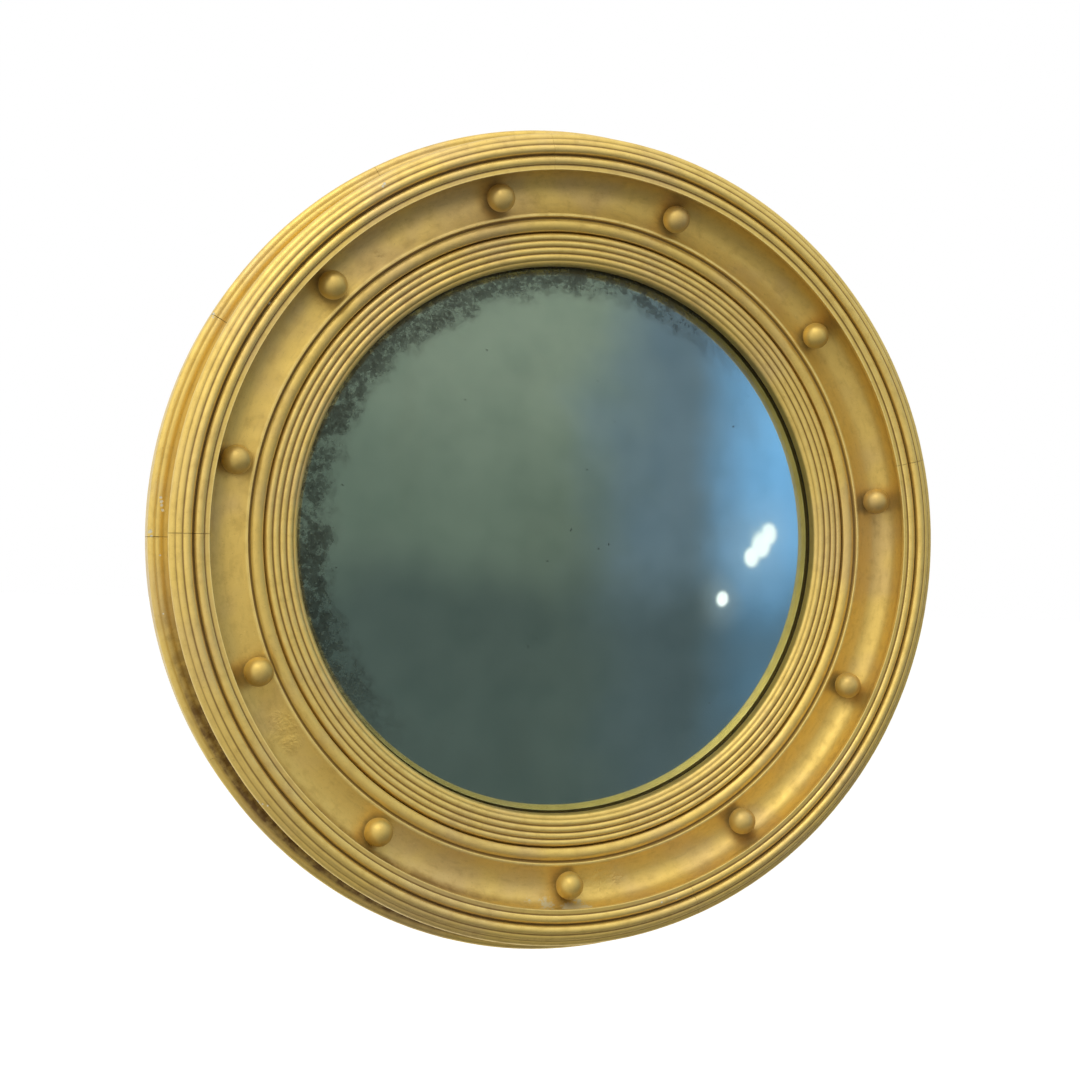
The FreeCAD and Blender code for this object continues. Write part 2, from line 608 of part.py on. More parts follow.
def screw_corners(head_radius, head_depth, shank_radius, length, head_level, gap):
    """Half the outline of a countersunk screw, from its axis out, with the head at the back."""
    return [
        ("0", head_level),
        (f"{head_radius} + {gap}", head_level),
        (f"{shank_radius} + {gap}", f"{head_level} + {head_depth}"),
        (f"{shank_radius} + {gap}", f"{head_level} + {length} + {gap}"),
        ("0", f"{head_level} + {length} + {gap}"),
    ]


BOARD_SCREW = ("Sizes.board_screw_head_radius", "Sizes.board_screw_head_depth",
               "Sizes.board_screw_shank_radius", "Sizes.board_screw_length", "0")
STRAP_SCREW = ("Sizes.strap_screw_head_radius", "Sizes.strap_thickness",
               "Sizes.strap_screw_shank_radius", "Sizes.strap_screw_length",
               "-Sizes.strap_thickness")

backboard = document.addObject("PartDesign::Body", "backboard")
board_sketch = new_sketch(backboard, "backboard_plan", "XY_Plane")
draw_circle(board_sketch, "0", "0", f"{BOARD_REBATE_RADIUS} - Sizes.board_edge_gap")
board = backboard.newObject("PartDesign::Pad", "board")
board.Profile = board_sketch
board.setExpression("Length", "Sizes.board_thickness")
backboard.Tip = board
document.recompute()


def screw_feature(body, name, kind, corners, across, up):
    """Turn a screw, or the countersunk hole for one, about an axis beside the mirror's own."""
    sketch = new_sketch(body, name + "_outline", "XZ_Plane")
    sketch.setExpression("AttachmentOffset.Base.x", across)
    sketch.setExpression("AttachmentOffset.Base.z", f"-({up})")
    draw_outline(sketch, corners)
    feature = body.newObject(kind, name)
    feature.Profile = sketch
    feature.ReferenceAxis = (sketch, ["V_Axis"])
    feature.Angle = 360
    body.Tip = feature
    document.recompute()
    return feature


board_hole = screw_feature(
    backboard, "board_hole", "PartDesign::Groove", screw_corners(*BOARD_SCREW, "Sizes.hole_gap"),
    *board_screw_place)
pattern_round_axis(backboard, "board_holes", board_hole, "Sizes.board_screw_count")
keep(backboard, "backboard")

backboard_screws = document.addObject("PartDesign::Body", "backboard_screws")
board_screw = screw_feature(
    backboard_screws, "board_screw", "PartDesign::Revolution", screw_corners(*BOARD_SCREW, "0"),
    *board_screw_place)
pattern_round_axis(backboard_screws, "all_board_screws", board_screw, "Sizes.board_screw_count")
keep(backboard_screws, "backboard_screws")


# ---------------------------------------------------------------- hanger

strap = document.addObject("PartDesign::Body", "hanger_strap")
strap_sketch = new_sketch(strap, "strap_plan", "XY_Plane")
draw_outline(strap_sketch, [
    ("Sizes.strap_width / 2", f"{STRAP_FOOT_HEIGHT} + Sizes.strap_width / 2"),
    ("Sizes.strap_width / 2", HINGE_HEIGHT),
    ("-Sizes.strap_width / 2", HINGE_HEIGHT),
    ("-Sizes.strap_width / 2", f"{STRAP_FOOT_HEIGHT} + Sizes.strap_width / 2",
     "out radius", "Sizes.strap_width / 2"),
    ("0", STRAP_FOOT_HEIGHT, "out radius", "Sizes.strap_width / 2"),
])
strap_plate = strap.newObject("PartDesign::Pad", "strap_plate")
strap_plate.Profile = strap_sketch
strap_plate.Reversed = True
strap_plate.setExpression("Length", "Sizes.strap_thickness")
strap.Tip = strap_plate
document.recompute()
CURL_RADIUS = "(Sizes.hanger_wire_radius + Sizes.hanger_wire_play + Sizes.strap_thickness)"
for curl_kind, curl_name, curl_radius, curl_overrun in (
        ("PartDesign::AdditiveCylinder", "strap_curl", CURL_RADIUS, "0"),
        ("PartDesign::SubtractiveCylinder", "strap_curl_bore",
         "Sizes.hanger_wire_radius + Sizes.hanger_wire_play", "Sizes.drill_overrun")):
    curl = strap.newObject(curl_kind, curl_name)
    curl.setExpression("Radius", curl_radius)
    curl.setExpression("Height", f"Sizes.strap_width + 2 * {curl_overrun}")
    curl.Placement = FreeCAD.Placement(
        FreeCAD.Vector(0, 0, 0), FreeCAD.Rotation(FreeCAD.Vector(0, 1, 0), 90))
    curl.setExpression("Placement.Base.x", f"-Sizes.strap_width / 2 - {curl_overrun}")
    curl.setExpression("Placement.Base.y", HINGE_HEIGHT)
    curl.setExpression("Placement.Base.z", f"-{HINGE_LIFT}")
    strap.Tip = curl
    document.recompute()
for strap_hole_name, screw_height in (
        ("strap_lower_hole", STRAP_LOWER_SCREW_HEIGHT),
        ("strap_upper_hole", STRAP_UPPER_SCREW_HEIGHT)):
    screw_feature(strap, strap_hole_name, "PartDesign::Groove",
                  screw_corners(*STRAP_SCREW, "Sizes.hole_gap"), "0", screw_height)
keep(strap, "hanger_strap")

hanger_screws = document.addObject("PartDesign::Body", "hanger_screws")
for strap_screw_name, screw_height in (
        ("strap_lower_screw", STRAP_LOWER_SCREW_HEIGHT),
        ("strap_upper_screw", STRAP_UPPER_SCREW_HEIGHT)):
    screw_feature(hanger_screws, strap_screw_name, "PartDesign::Revolution",
                  screw_corners(*STRAP_SCREW, "0"), "0", screw_height)
keep(hanger_screws, "hanger_screws")

hanger_ring = document.addObject("PartDesign::Body", "hanger_ring")
path_sketch = new_sketch(hanger_ring, "hanger_ring_path", "XY_Plane")
path_sketch.setExpression("AttachmentOffset.Base.z", f"-{HINGE_LIFT}")
BAR_END = "(Sizes.strap_width / 2 + Sizes.hanger_bar_play)"
HANGER_RADIUS = f"({BAR_END} + Sizes.hanger_corner_radius)"
LEG_TOP = f"({HINGE_HEIGHT} - Sizes.hanger_corner_radius)"
LEG_FOOT = f"({LEG_TOP} - Sizes.hanger_leg_length)"
draw_outline(path_sketch, [
    (BAR_END, HINGE_HEIGHT),
    (f"-{BAR_END}", HINGE_HEIGHT, "out radius", "Sizes.hanger_corner_radius"),
    (f"-{HANGER_RADIUS}", LEG_TOP),
    (f"-{HANGER_RADIUS}", LEG_FOOT, "out radius", HANGER_RADIUS),
    ("0", f"{LEG_FOOT} - {HANGER_RADIUS}", "out radius", HANGER_RADIUS),
    (HANGER_RADIUS, LEG_FOOT),
    (HANGER_RADIUS, LEG_TOP, "out radius", "Sizes.hanger_corner_radius"),
])
wire_sketch = new_sketch(hanger_ring, "hanger_wire_section", "YZ_Plane")
draw_circle(wire_sketch, HINGE_HEIGHT, f"-{HINGE_LIFT}", "Sizes.hanger_wire_radius")
wire = hanger_ring.newObject("PartDesign::AdditivePipe", "hanger_wire")
wire.Profile = wire_sketch
wire.Spine = path_sketch
hanger_ring.Tip = wire
keep(hanger_ring, "hanger_ring")


# ---------------------------------------------------------------- check and write

document.recompute()
for thing in document.Objects:
    if "Invalid" in thing.State or "Error" in thing.State:
        raise RuntimeError(f"{thing.Label} did not build: {thing.State}")
for piece in pieces:
    if piece.Shape.isNull() or not piece.Shape.isValid():
        raise RuntimeError(f"{piece.Label} has no valid shape")

os.makedirs("parts", exist_ok=True)
for piece in pieces:
    piece.Shape.exportStep(f"parts/{piece.Label}.step")
    box = piece.Shape.BoundBox
    print(f"{piece.Label}: {len(piece.Shape.Solids)} solids, {piece.Shape.Volume / 1000:.2f} cm3,"
          f" x {box.XMin:.1f}..{box.XMax:.1f}, y {box.YMin:.1f}..{box.YMax:.1f},"
          f" z {box.ZMin:.1f}..{box.ZMax:.1f}")
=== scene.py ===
"""A round convex wall mirror in a turned, gilded frame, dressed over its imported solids.

Places are in metres in the frame of the solids: the wall lies at Y = 0, the glass faces -Y and +Z
is up. A ring's profile is a list of (radius, level) points, where the level is the height above the
flat back, so that a point of the profile lies at Y = -level. Angles run anticlockwise from the
right, seen from the front.
"""

import bisect
import math

import bmesh
import bpy
from mathutils import Matrix, Vector, noise


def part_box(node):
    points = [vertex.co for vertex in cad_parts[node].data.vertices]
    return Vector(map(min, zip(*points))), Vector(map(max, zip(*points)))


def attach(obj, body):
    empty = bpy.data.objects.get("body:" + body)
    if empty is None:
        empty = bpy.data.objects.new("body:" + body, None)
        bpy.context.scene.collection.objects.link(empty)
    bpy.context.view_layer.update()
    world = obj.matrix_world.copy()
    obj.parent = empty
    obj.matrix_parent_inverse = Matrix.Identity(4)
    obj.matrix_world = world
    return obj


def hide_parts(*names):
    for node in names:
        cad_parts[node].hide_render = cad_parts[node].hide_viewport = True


bl_info = {
    "name": "Convex Wall Mirror",
    "version": (1, 0, 0),
    "blender": (4, 5, 0),
    "location": "View3D > Sidebar > Mirror",
    "description": "Dresses a convex mirror's turned frame, glass, back and hanger",
    "category": "Object",
}

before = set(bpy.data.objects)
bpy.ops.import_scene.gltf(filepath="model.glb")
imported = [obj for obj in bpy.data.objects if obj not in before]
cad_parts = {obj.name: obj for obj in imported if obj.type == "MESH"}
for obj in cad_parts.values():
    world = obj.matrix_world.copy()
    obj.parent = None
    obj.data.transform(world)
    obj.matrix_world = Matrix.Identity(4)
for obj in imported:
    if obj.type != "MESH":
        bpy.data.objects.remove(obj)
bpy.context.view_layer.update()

MM = 0.001
BODY = "mirror"
WALL_AXIS = Vector((0, -1, 0))
# how far the finish stays inside the solids
SKIN = 0.02 * MM


# ---------------------------------------------------------------- sizes and colours

def length_setting(label, description, value):
    """A length, in metres."""
    return bpy.props.FloatProperty(
        name=label, description=description, default=value, unit="LENGTH")


def angle_setting(label, description, degrees):
    """An angle, given in degrees and kept in radians."""
    return bpy.props.FloatProperty(
        name=label, description=description, default=math.radians(degrees), subtype="ANGLE")


def number_setting(label, description, value):
    """A number without a unit."""
    return bpy.props.FloatProperty(name=label, description=description, default=value)


def colour_setting(label, description, value):
    """A colour."""
    return bpy.props.FloatVectorProperty(
        name=label, description=description, default=value, subtype="COLOR", size=3)


class FrameSizes(bpy.types.PropertyGroup):
    """The turned frame. Widths are measured outwards from the visible edge of the glass."""

    sight_radius: length_setting("Sight radius", "Radius of the visible glass", 177.3 * MM)
    nose_width: length_setting("Nose width", "Width of the slip's rounded inner edge", 2.8 * MM)
    reed_width: length_setting("Slip reed width", "Width of one reed of the slip", 4.2 * MM)
    reed_count: bpy.props.IntProperty(
        name="Slip reeds", description="Reeds on the slip round the glass", default=4)
    arc_step: angle_setting("Turning step", "Angle between two steps of a turned ring", 0.75)
    unevenness: length_setting("Unevenness", "How deep the hand-laid gesso dips", 0.16 * MM)


class GiltColours(bpy.types.PropertyGroup):
    """The gold paint, what has settled in its recesses, the painted shade at the balls and the
    lower left, and what shows where it has chipped.
    """

    gold: colour_setting("Gold", "Gold paint on open surfaces", (0.74, 0.535, 0.145))
    rubbed: colour_setting("Rubbed gold", "Brighter gold on rubbed crests", (0.95, 0.76, 0.28))
    dull: colour_setting("Dull gold", "Tan bloom on dulled stretches", (0.56, 0.40, 0.19))
    # the recess colour also paints the shade round the balls and at the lower left
    recess: colour_setting("Recess", "Dark wax and dirt in the grooves", (0.15, 0.078, 0.014))
    gesso: colour_setting("Gesso", "Pale ground under chipped gold", (0.62, 0.58, 0.43))
    verdigris: colour_setting("Grey green bloom", "Dirt beside the balls", (0.50, 0.50, 0.38))


class GlassColours(bpy.types.PropertyGroup):
    """The silvering behind the glass and its foxing, whose dark colour also paints the shade line
    at the glass's edge.
    """

    silver: colour_setting("Silver", "Sound silvering", (0.66, 0.72, 0.70))
    foxed: colour_setting("Foxing", "Silvering that has gone dark", (0.050, 0.043, 0.027))


class StudioSettings(bpy.types.PropertyGroup):
    """Camera, floor and lights."""

    lens: number_setting("Lens", "Focal length on a 36 mm sensor, in millimetres", 47.4)
    distance: length_setting(
        "Distance", "From the camera to the middle of the balls' plane", 0.907)
    azimuth: angle_setting("Azimuth", "How far the camera stands to the right", -20.68)
    elevation: angle_setting("Elevation", "How far the camera stands above the middle", 0.15)
    roll: angle_setting("Roll", "Turn of the view about the mirror's axis", 2.45)
    shift_x: number_setting("Shift X", "Sideways shift of the framing", -0.0376)
    shift_y: number_setting("Shift Y", "Upwards shift of the framing", 0.0)
    floor_level: length_setting(
        "Floor", "Height of the floor below the mirror's middle", -0.62)
    world_light: number_setting("World light", "Strength of the even light all round", 0.38)


# ---------------------------------------------------------------- profiles

def held(value, low=0.0, high=1.0):
    """The value, kept between low and high."""
    return max(low, min(high, value))


def arc(start, end, rise, steps=8):
    """Points of an arc after start up to end, bowed to the left of its way by rise."""
    start, end = Vector(start), Vector(end)
    chord = end - start
    half = chord.length / 2
    radius = (half ** 2 + rise ** 2) / (2 * abs(rise))
    side = Vector((-chord.y, chord.x)).normalized() * (1 if rise > 0 else -1)
    centre = (start + end) / 2 + side * (abs(rise) - radius)
    first = math.atan2(start.y - centre.y, start.x - centre.x)
    sweep = math.atan2(end.y - centre.y, end.x - centre.x) - first
    while sweep > math.pi:
        sweep -= 2 * math.pi
    while sweep < -math.pi:
        sweep += 2 * math.pi
    points = []
    for step in range(1, steps + 1):
        angle = first + sweep * step / steps
        points.append((centre.x + radius * math.cos(angle), centre.y + radius * math.sin(angle)))
    return points


def radii(sizes):
    """The radii at which the frame's mouldings meet, from the glass outwards, in metres."""
    place = {"sight": sizes.sight_radius, "nose": sizes.sight_radius + sizes.nose_width}
    place["reeds"] = place["nose"] + sizes.reed_count * sizes.reed_width
    for name, inner, width in (
            ("slip", "reeds", 1.0), ("bore", "slip", 0.3), ("bead", "bore", 8.4),
            ("crest_in", "bead", 0.8), ("crest", "crest_in", 1.4), ("balls", "crest", 11.2),
            ("lip", "balls", 12.0), ("wall", "lip", 3.9), ("rim_lip", "lip", -0.4),
            ("half_round", "rim_lip", 3.4), ("quirk_in", "half_round", 5.6),
            ("quirk", "quirk_in", 0.6), ("crown_in", "quirk", 0.4), ("crown", "crown_in", 5.2),
            ("rim_reed", "crown", 4.0), ("rim", "rim_reed", 3.8), ("foot", "rim", -1.8),
            ("back_reed", "foot", 2.6), ("back_groove", "back_reed", 4.3),
            ("back", "back_groove", 4.3)):
        place[name] = place[inner] + width * MM
    return place


# the levels of the mouldings, the heights between them, and the widths of the rebates
BACK_FRONT = 22.6 * MM
COVE_FLOOR = 27.0 * MM
FLOOR_DROP, OUTER_RISE = 2.4 * MM, 21.2 * MM
COVE_LIP = COVE_FLOOR + OUTER_RISE
RIM_LIP = COVE_LIP + 2.4 * MM
SLIP_GLASS = 16.3 * MM
SLIP_REEDS = 25.7 * MM
SLIP_FALL = 1.8 * MM
SLIP_BACK = 10.0 * MM
SLIP_WALL = 4.1 * MM
GLASS_REBATE = 7.2 * MM
SHOULDER_LEVEL = 16.0 * MM
SHOULDER_WIDTH = 3.0 * MM
BOARD_SEAT = 5.0 * MM
BOARD_REBATE = 13.8 * MM
BEAD_DROP = 0.4 * MM
BALL_RADIUS = 8.9 * MM
BALL_NODES = sorted(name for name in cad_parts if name.startswith(("ball_0", "ball_1")))
BALL_CENTRES = [sum((Vector(corner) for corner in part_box(name)), Vector()) / 2
                for name in BALL_NODES]


def straight(start, end, spacing=1.2 * MM):
    """Points of a straight run after start up to end, no further apart than spacing."""
    start, end = Vector(start), Vector(end)
    steps = max(1, math.ceil((end - start).length / spacing))
    return [tuple(start.lerp(end, step / steps)) for step in range(1, steps + 1)]


def outline(corners):
    """A closed profile through corners of (radius, level) or (radius, level, rise, steps).

    It runs outwards over the top and back underneath. The last two values bow the edge that leaves
    a corner by rise, outwards if it is positive.
    """
    points = []
    for number, corner in enumerate(corners):
        following = corners[(number + 1) % len(corners)][:2]
        if len(corner) == 2:
            points += straight(corner, following)
        else:
            points += arc(corner[:2], following, corner[2], corner[3])
    return points


def eased(points, groove=0.75 * MM, edge=0.4 * MM, sharp=math.radians(28)):
    """Fill each sharp groove of a closed profile and round each sharp edge, as gesso does."""
    lengths, total = lengths_along(points)
    corners = {}
    for number, here in enumerate(points):
        before, here = Vector(points[number - 1]), Vector(here)
        after = Vector(points[(number + 1) % len(points)])
        into, out = here - before, after - here
        if into.angle(out) >= sharp:
            corners[number] = groove if into.cross(out) > 0 else edge
    smooth = []
    for number, here in enumerate(points):
        place = lengths[number]
        gaps = {other: min((place - lengths[other]) % total, (lengths[other] - place) % total)
                for other in corners if other != number}
        if number in corners:
            reach = min([corners[number]] + [0.45 * gap for gap in gaps.values()])
            start = point_along(points, lengths, total, place - reach)
            end = point_along(points, lengths, total, place + reach)
            here = Vector(here)
            for share in (0, 0.25, 0.5, 0.75, 1):
                smooth.append(tuple(start.lerp(here, share).lerp(here.lerp(end, share), share)))
        elif all(gap > corners[other] for other, gap in gaps.items()):
            smooth.append(tuple(here))
    return smooth


def lengths_along(points):
    """The distance along a closed profile at each of its points, and its whole length."""
    total, lengths = 0.0, []
    for number, point in enumerate(points):
        lengths.append(total)
        total += (Vector(points[(number + 1) % len(points)]) - Vector(point)).length
    return lengths, total


def point_along(points, lengths, total, place):
    """The point at a distance along a closed profile."""
    place %= total
    number = bisect.bisect_right(lengths, place) - 1
    start, end = Vector(points[number]), Vector(points[(number + 1) % len(points)])
    run = (end - start).length
    return start.lerp(end, (place - lengths[number]) / run if run else 0)


# the sink, as a share of the reach, that counts as a full groove
FULL_HOLLOW = 0.35


def hollowness(points, reach):
    """How far each point lies in a groove of about that reach, from -1 on a crest to 1."""
    lengths, total = lengths_along(points)
    found = []
    for number, place in enumerate(lengths):
        before = point_along(points, lengths, total, place - reach)
        after = point_along(points, lengths, total, place + reach)
        chord = after - before
        if chord.length < 1e-9:
            found.append(0.0)
            continue
        outward = Vector((-chord.y, chord.x)).normalized()
        sink = ((before + after) / 2 - Vector(points[number])).dot(outward)
        found.append(held(sink / (FULL_HOLLOW * reach), -1.0))
    return found


# ---------------------------------------------------------------- meshes

FULL_TURN = 2 * math.pi
STRETCH = math.radians(30)
MERGE = 0.001 * MM
JOINT_DEPTH = 0.05 * MM
JOINT_WIDTH = math.radians(0.07)
# the two widths of groove that a vertex knows about
NARROW_GROOVE, WIDE_GROOVE = 0.8 * MM, 3.2 * MM
# uneven gesso: how fast the waves run round a ring and across it, and the ripples all over
WAVES_ROUND, WAVES_ACROSS, RIPPLES = 9, 110, 60
WAVE_SHARE, RIPPLE_SHARE = 0.38, 0.3


def linked(name, data):
    """A new object with that data, in the scene."""
    piece = bpy.data.objects.new(name, data)
    bpy.context.scene.collection.objects.link(piece)
    return piece


def meshed(name, shaped):
    """A mesh made from a bmesh, which is freed."""
    mesh = bpy.data.meshes.new(name)
    shaped.to_mesh(mesh)
    shaped.free()
    return mesh


def with_edges(shaped, places):
    """The vertices at the places and the edges that join them in a row, in a bmesh."""
    row = [shaped.verts.new(place) for place in places]
    return row + [shaped.edges.new(pair) for pair in zip(row, row[1:])]


def finished_object(name, shaped, finishes, node, smooth=None):
    """Put a bmesh into a new object that stands for a node of the frame."""
    mesh = meshed(name, shaped)
    piece = linked(name, mesh)
    for finish in finishes:
        mesh.materials.append(finish)
    mesh.shade_smooth()
    if smooth is not None:
        mesh.set_sharp_from_angle(angle=smooth)
    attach(piece, BODY)
    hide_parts(node)


def spun(shaped, section, sweep, step):
    """Turn a section about the mirror's axis: one short stretch, and its copies round the rest."""
    stretches = max(1, math.ceil(sweep / STRETCH - 0.01))
    angle = sweep / stretches
    bmesh.ops.spin(shaped, geom=section, cent=(0, 0, 0), axis=WALL_AXIS, angle=angle,
                   steps=max(2, round(angle / step)))
    stretch = shaped.verts[:] + shaped.edges[:] + shaped.faces[:]
    for number in range(1, stretches):
        copied = bmesh.ops.duplicate(shaped, geom=stretch)["geom"]
        moved = [part for part in copied if isinstance(part, bmesh.types.BMVert)]
        bmesh.ops.rotate(shaped, verts=moved, cent=(0, 0, 0),
                         matrix=Matrix.Rotation(number * angle, 3, WALL_AXIS))
    bmesh.ops.remove_doubles(shaped, verts=shaped.verts, dist=MERGE)
    bmesh.ops.recalc_face_normals(shaped, faces=shaped.faces)
    if shaped.calc_volume(signed=True) < 0:
        bmesh.ops.reverse_faces(shaped, faces=shaped.faces)


def turned(points, step, start=0.0, sweep=FULL_TURN, unevenness=0.0, joints=(0.0, 0.0)):
    """Turn a closed profile about the mirror's axis.

    Its vertices carry how hollow the section is, narrowly and widely, where they lie along the
    turning and the section, and how far a glue joint shows there: joints gives that for the two
    ends. The surface only ever dips.
    """
    shaped = bmesh.new()
    layers = shaped.verts.layers
    narrow, wide = layers.float.new("hollow"), layers.float.new("shelter")
    across, seam = layers.float.new("across"), layers.float.new("seam")
    grain = layers.float_vector.new("grain")
    lengths, _ = lengths_along(points)
    first = []
    for point, near, far, length in zip(
            points, hollowness(points, NARROW_GROOVE), hollowness(points, WIDE_GROOVE), lengths):
        vertex = shaped.verts.new(
            (point[0] * math.cos(start), -point[1], point[0] * math.sin(start)))
        vertex[narrow], vertex[wide], vertex[across] = near, far, length
        first.append(vertex)
    edges = [shaped.edges.new((first[number - 1], first[number])) for number in range(len(first))]
    whole = abs(sweep - FULL_TURN) < 1e-6
    spun(shaped, first + edges, sweep, step)
    shaped.normal_update()
    ends = set()
    if not whole:
        open_edges = [edge for edge in shaped.edges if edge.is_boundary]
        ends = {vertex for edge in open_edges for vertex in edge.verts}
        second = {other for vertex in ends for edge in vertex.link_edges
                  for other in (edge.other_vert(vertex),) if other not in ends}
        narrow_to_joint(second, start, sweep)
        bmesh.ops.holes_fill(shaped, edges=open_edges, sides=0)
    for vertex in shaped.verts:
        radius = math.hypot(vertex.co.x, vertex.co.z)
        round_place = Vector((vertex.co.x, vertex.co.z)) / radius
        vertex[grain] = (round_place.x, round_place.y, vertex[across])
        if vertex.co.y >= -MM:
            vertex.co -= SKIN * Vector((round_place.x, 0, round_place.y))
        elif unevenness:
            wave = noise.noise(
                Vector((*(round_place * WAVES_ROUND), vertex[across] * WAVES_ACROSS)))
            ripple = noise.noise(Vector((*round_place, vertex[across] * 3)) * RIPPLES)
            dip = 0.5 + WAVE_SHARE * wave + RIPPLE_SHARE * ripple
            vertex.co -= vertex.normal * (SKIN + unevenness * held(dip))
        if vertex in ends:
            past_start = (math.atan2(vertex.co.z, vertex.co.x) - start + sweep / 4) % FULL_TURN
            vertex[seam] = joints[0] if past_start < sweep / 2 else joints[1]
            if vertex.co.y < -MM:
                vertex.co -= vertex.normal * JOINT_DEPTH * vertex[seam]
    return shaped


def narrow_to_joint(vertices, start, sweep):
    """Bring the rows next to a joint close to it, so that the joint is a narrow line."""
    for vertex in vertices:
        angle = (math.atan2(vertex.co.z, vertex.co.x) - start) % FULL_TURN
        near_start = angle < sweep / 2
        actual = angle if near_start else sweep - angle
        turn = (JOINT_WIDTH - actual) if near_start else (actual - JOINT_WIDTH)
        vertex.co = Matrix.Rotation(turn, 3, WALL_AXIS) @ vertex.co


# ---------------------------------------------------------------- finishes

class Tree:
    """A node tree under construction. A value is a number, a colour or another node's socket."""

    def __init__(self, owner):
        owner.use_nodes = True
        self.nodes, self.links = owner.node_tree.nodes, owner.node_tree.links
        self.nodes.clear()

    def node(self, kind, inputs=None, **settings):
        node = self.nodes.new("ShaderNode" + kind)
        for name, value in settings.items():
            setattr(node, name, value)
        for name, value in (inputs or {}).items():
            if isinstance(value, bpy.types.NodeSocket):
                self.links.new(value, node.inputs[name])
            else:
                node.inputs[name].default_value = value
        return node

    def math(self, operation, first, second=0.0):
        return self.node("Math", {0: first, 1: second}, operation=operation).outputs[0]

    def chained(self, operation, values):
        result = values[0]
        for value in values[1:]:
            result = self.math(operation, result, value)
        return result

    def product(self, *values):
        return self.chained("MULTIPLY", values)

    def total(self, *values):
        return self.chained("ADD", values)

    def largest(self, *values):
        return self.chained("MAXIMUM", values)

    def less(self, first, second):
        return self.math("SUBTRACT", first, second)

    def span(self, value, low, high, out_low=0.0, out_high=1.0, smooth=True):
        """Map a value from low..high to out_low..out_high, held at the ends."""
        node = self.node("MapRange", {
            "Value": value, "From Min": low, "From Max": high,
            "To Min": out_low, "To Max": out_high})
        node.interpolation_type = "SMOOTHSTEP" if smooth else "LINEAR"
        return node.outputs[0]


class Finish(Tree):
    """A node material under construction, on object coordinates."""

    def __init__(self, name):
        self.material = bpy.data.materials.new(name)
        super().__init__(self.material)
        self.shader = self.node("BsdfPrincipled")
        self.output = self.node("OutputMaterial", {"Surface": self.shader.outputs[0]})
        self.place = self.node("TexCoord").outputs["Object"]

    def away_from(self, point):
        """The distance from a fixed point, in metres."""
        return self.node("VectorMath", {0: self.place, 1: point},
                         operation="DISTANCE").outputs["Value"]

    def sideways_and_up(self):
        """The X and the Z of the place."""
        apart = self.node("SeparateXYZ", {0: self.place}).outputs
        return apart[0], apart[2]

    def noise(self, scale, detail, roughness, vector=None, distortion=0.0):
        node = self.node("TexNoise", {
            "Vector": vector or self.place, "Scale": scale, "Detail": detail,
            "Roughness": roughness, "Distortion": distortion})
        return node.outputs["Fac"]

    def scaled(self, vector, scale):
        return self.node("Mapping", {"Vector": vector, "Scale": scale}).outputs[0]

    def attribute(self, name, output="Fac"):
        return self.node("Attribute", attribute_name=name).outputs[output]

    def mix(self, factor, first, second):
        node = self.node("Mix", data_type="RGBA")
        for socket, value in ((0, factor), (6, first), (7, second)):
            if isinstance(value, bpy.types.NodeSocket):
                self.links.new(value, node.inputs[socket])
            else:
                node.inputs[socket].default_value = (
                    value if socket == 0 else (*value[:3], 1.0))
        return node.outputs[2]

    def spots(self, marks, ragged=0.35, soft=0.15):
        """1 inside any of the marks, each an (angle, radius, level, size), with ragged edges."""
        rough = self.less(self.noise(520, 3, 0.6), 0.5)
        inside = []
        for *place, size in marks:
            radius = size * MM
            uneven = self.total(self.away_from(on_frame(*place)),
                                self.product(rough, 4 * ragged * radius))
            inside.append(self.span(uneven, radius * (1 + soft), radius * (1 - soft)))
        return self.largest(*inside)

    def bump(self, *layers):
        """Stack bumps of (height, distance in metres, strength)."""
        normal = None
        for height, distance, strength in layers:
            inputs = {"Height": height, "Distance": distance, "Strength": strength}
            if normal is not None:
                inputs["Normal"] = normal
            normal = self.node("Bump", inputs).outputs[0]
        self.set("Normal", normal)

    def set(self, name, value):
        socket = self.shader.inputs[name]
        if isinstance(value, bpy.types.NodeSocket):
            self.links.new(value, socket)
        else:
            socket.default_value = (*value[:3], 1.0) if hasattr(value, "__len__") else value


def on_frame(angle, radius, level):
    """The place at an angle in degrees, a radius and a level in millimetres."""
    turn = math.radians(angle)
    return (radius * MM * math.cos(turn), -level * MM, radius * MM * math.sin(turn))


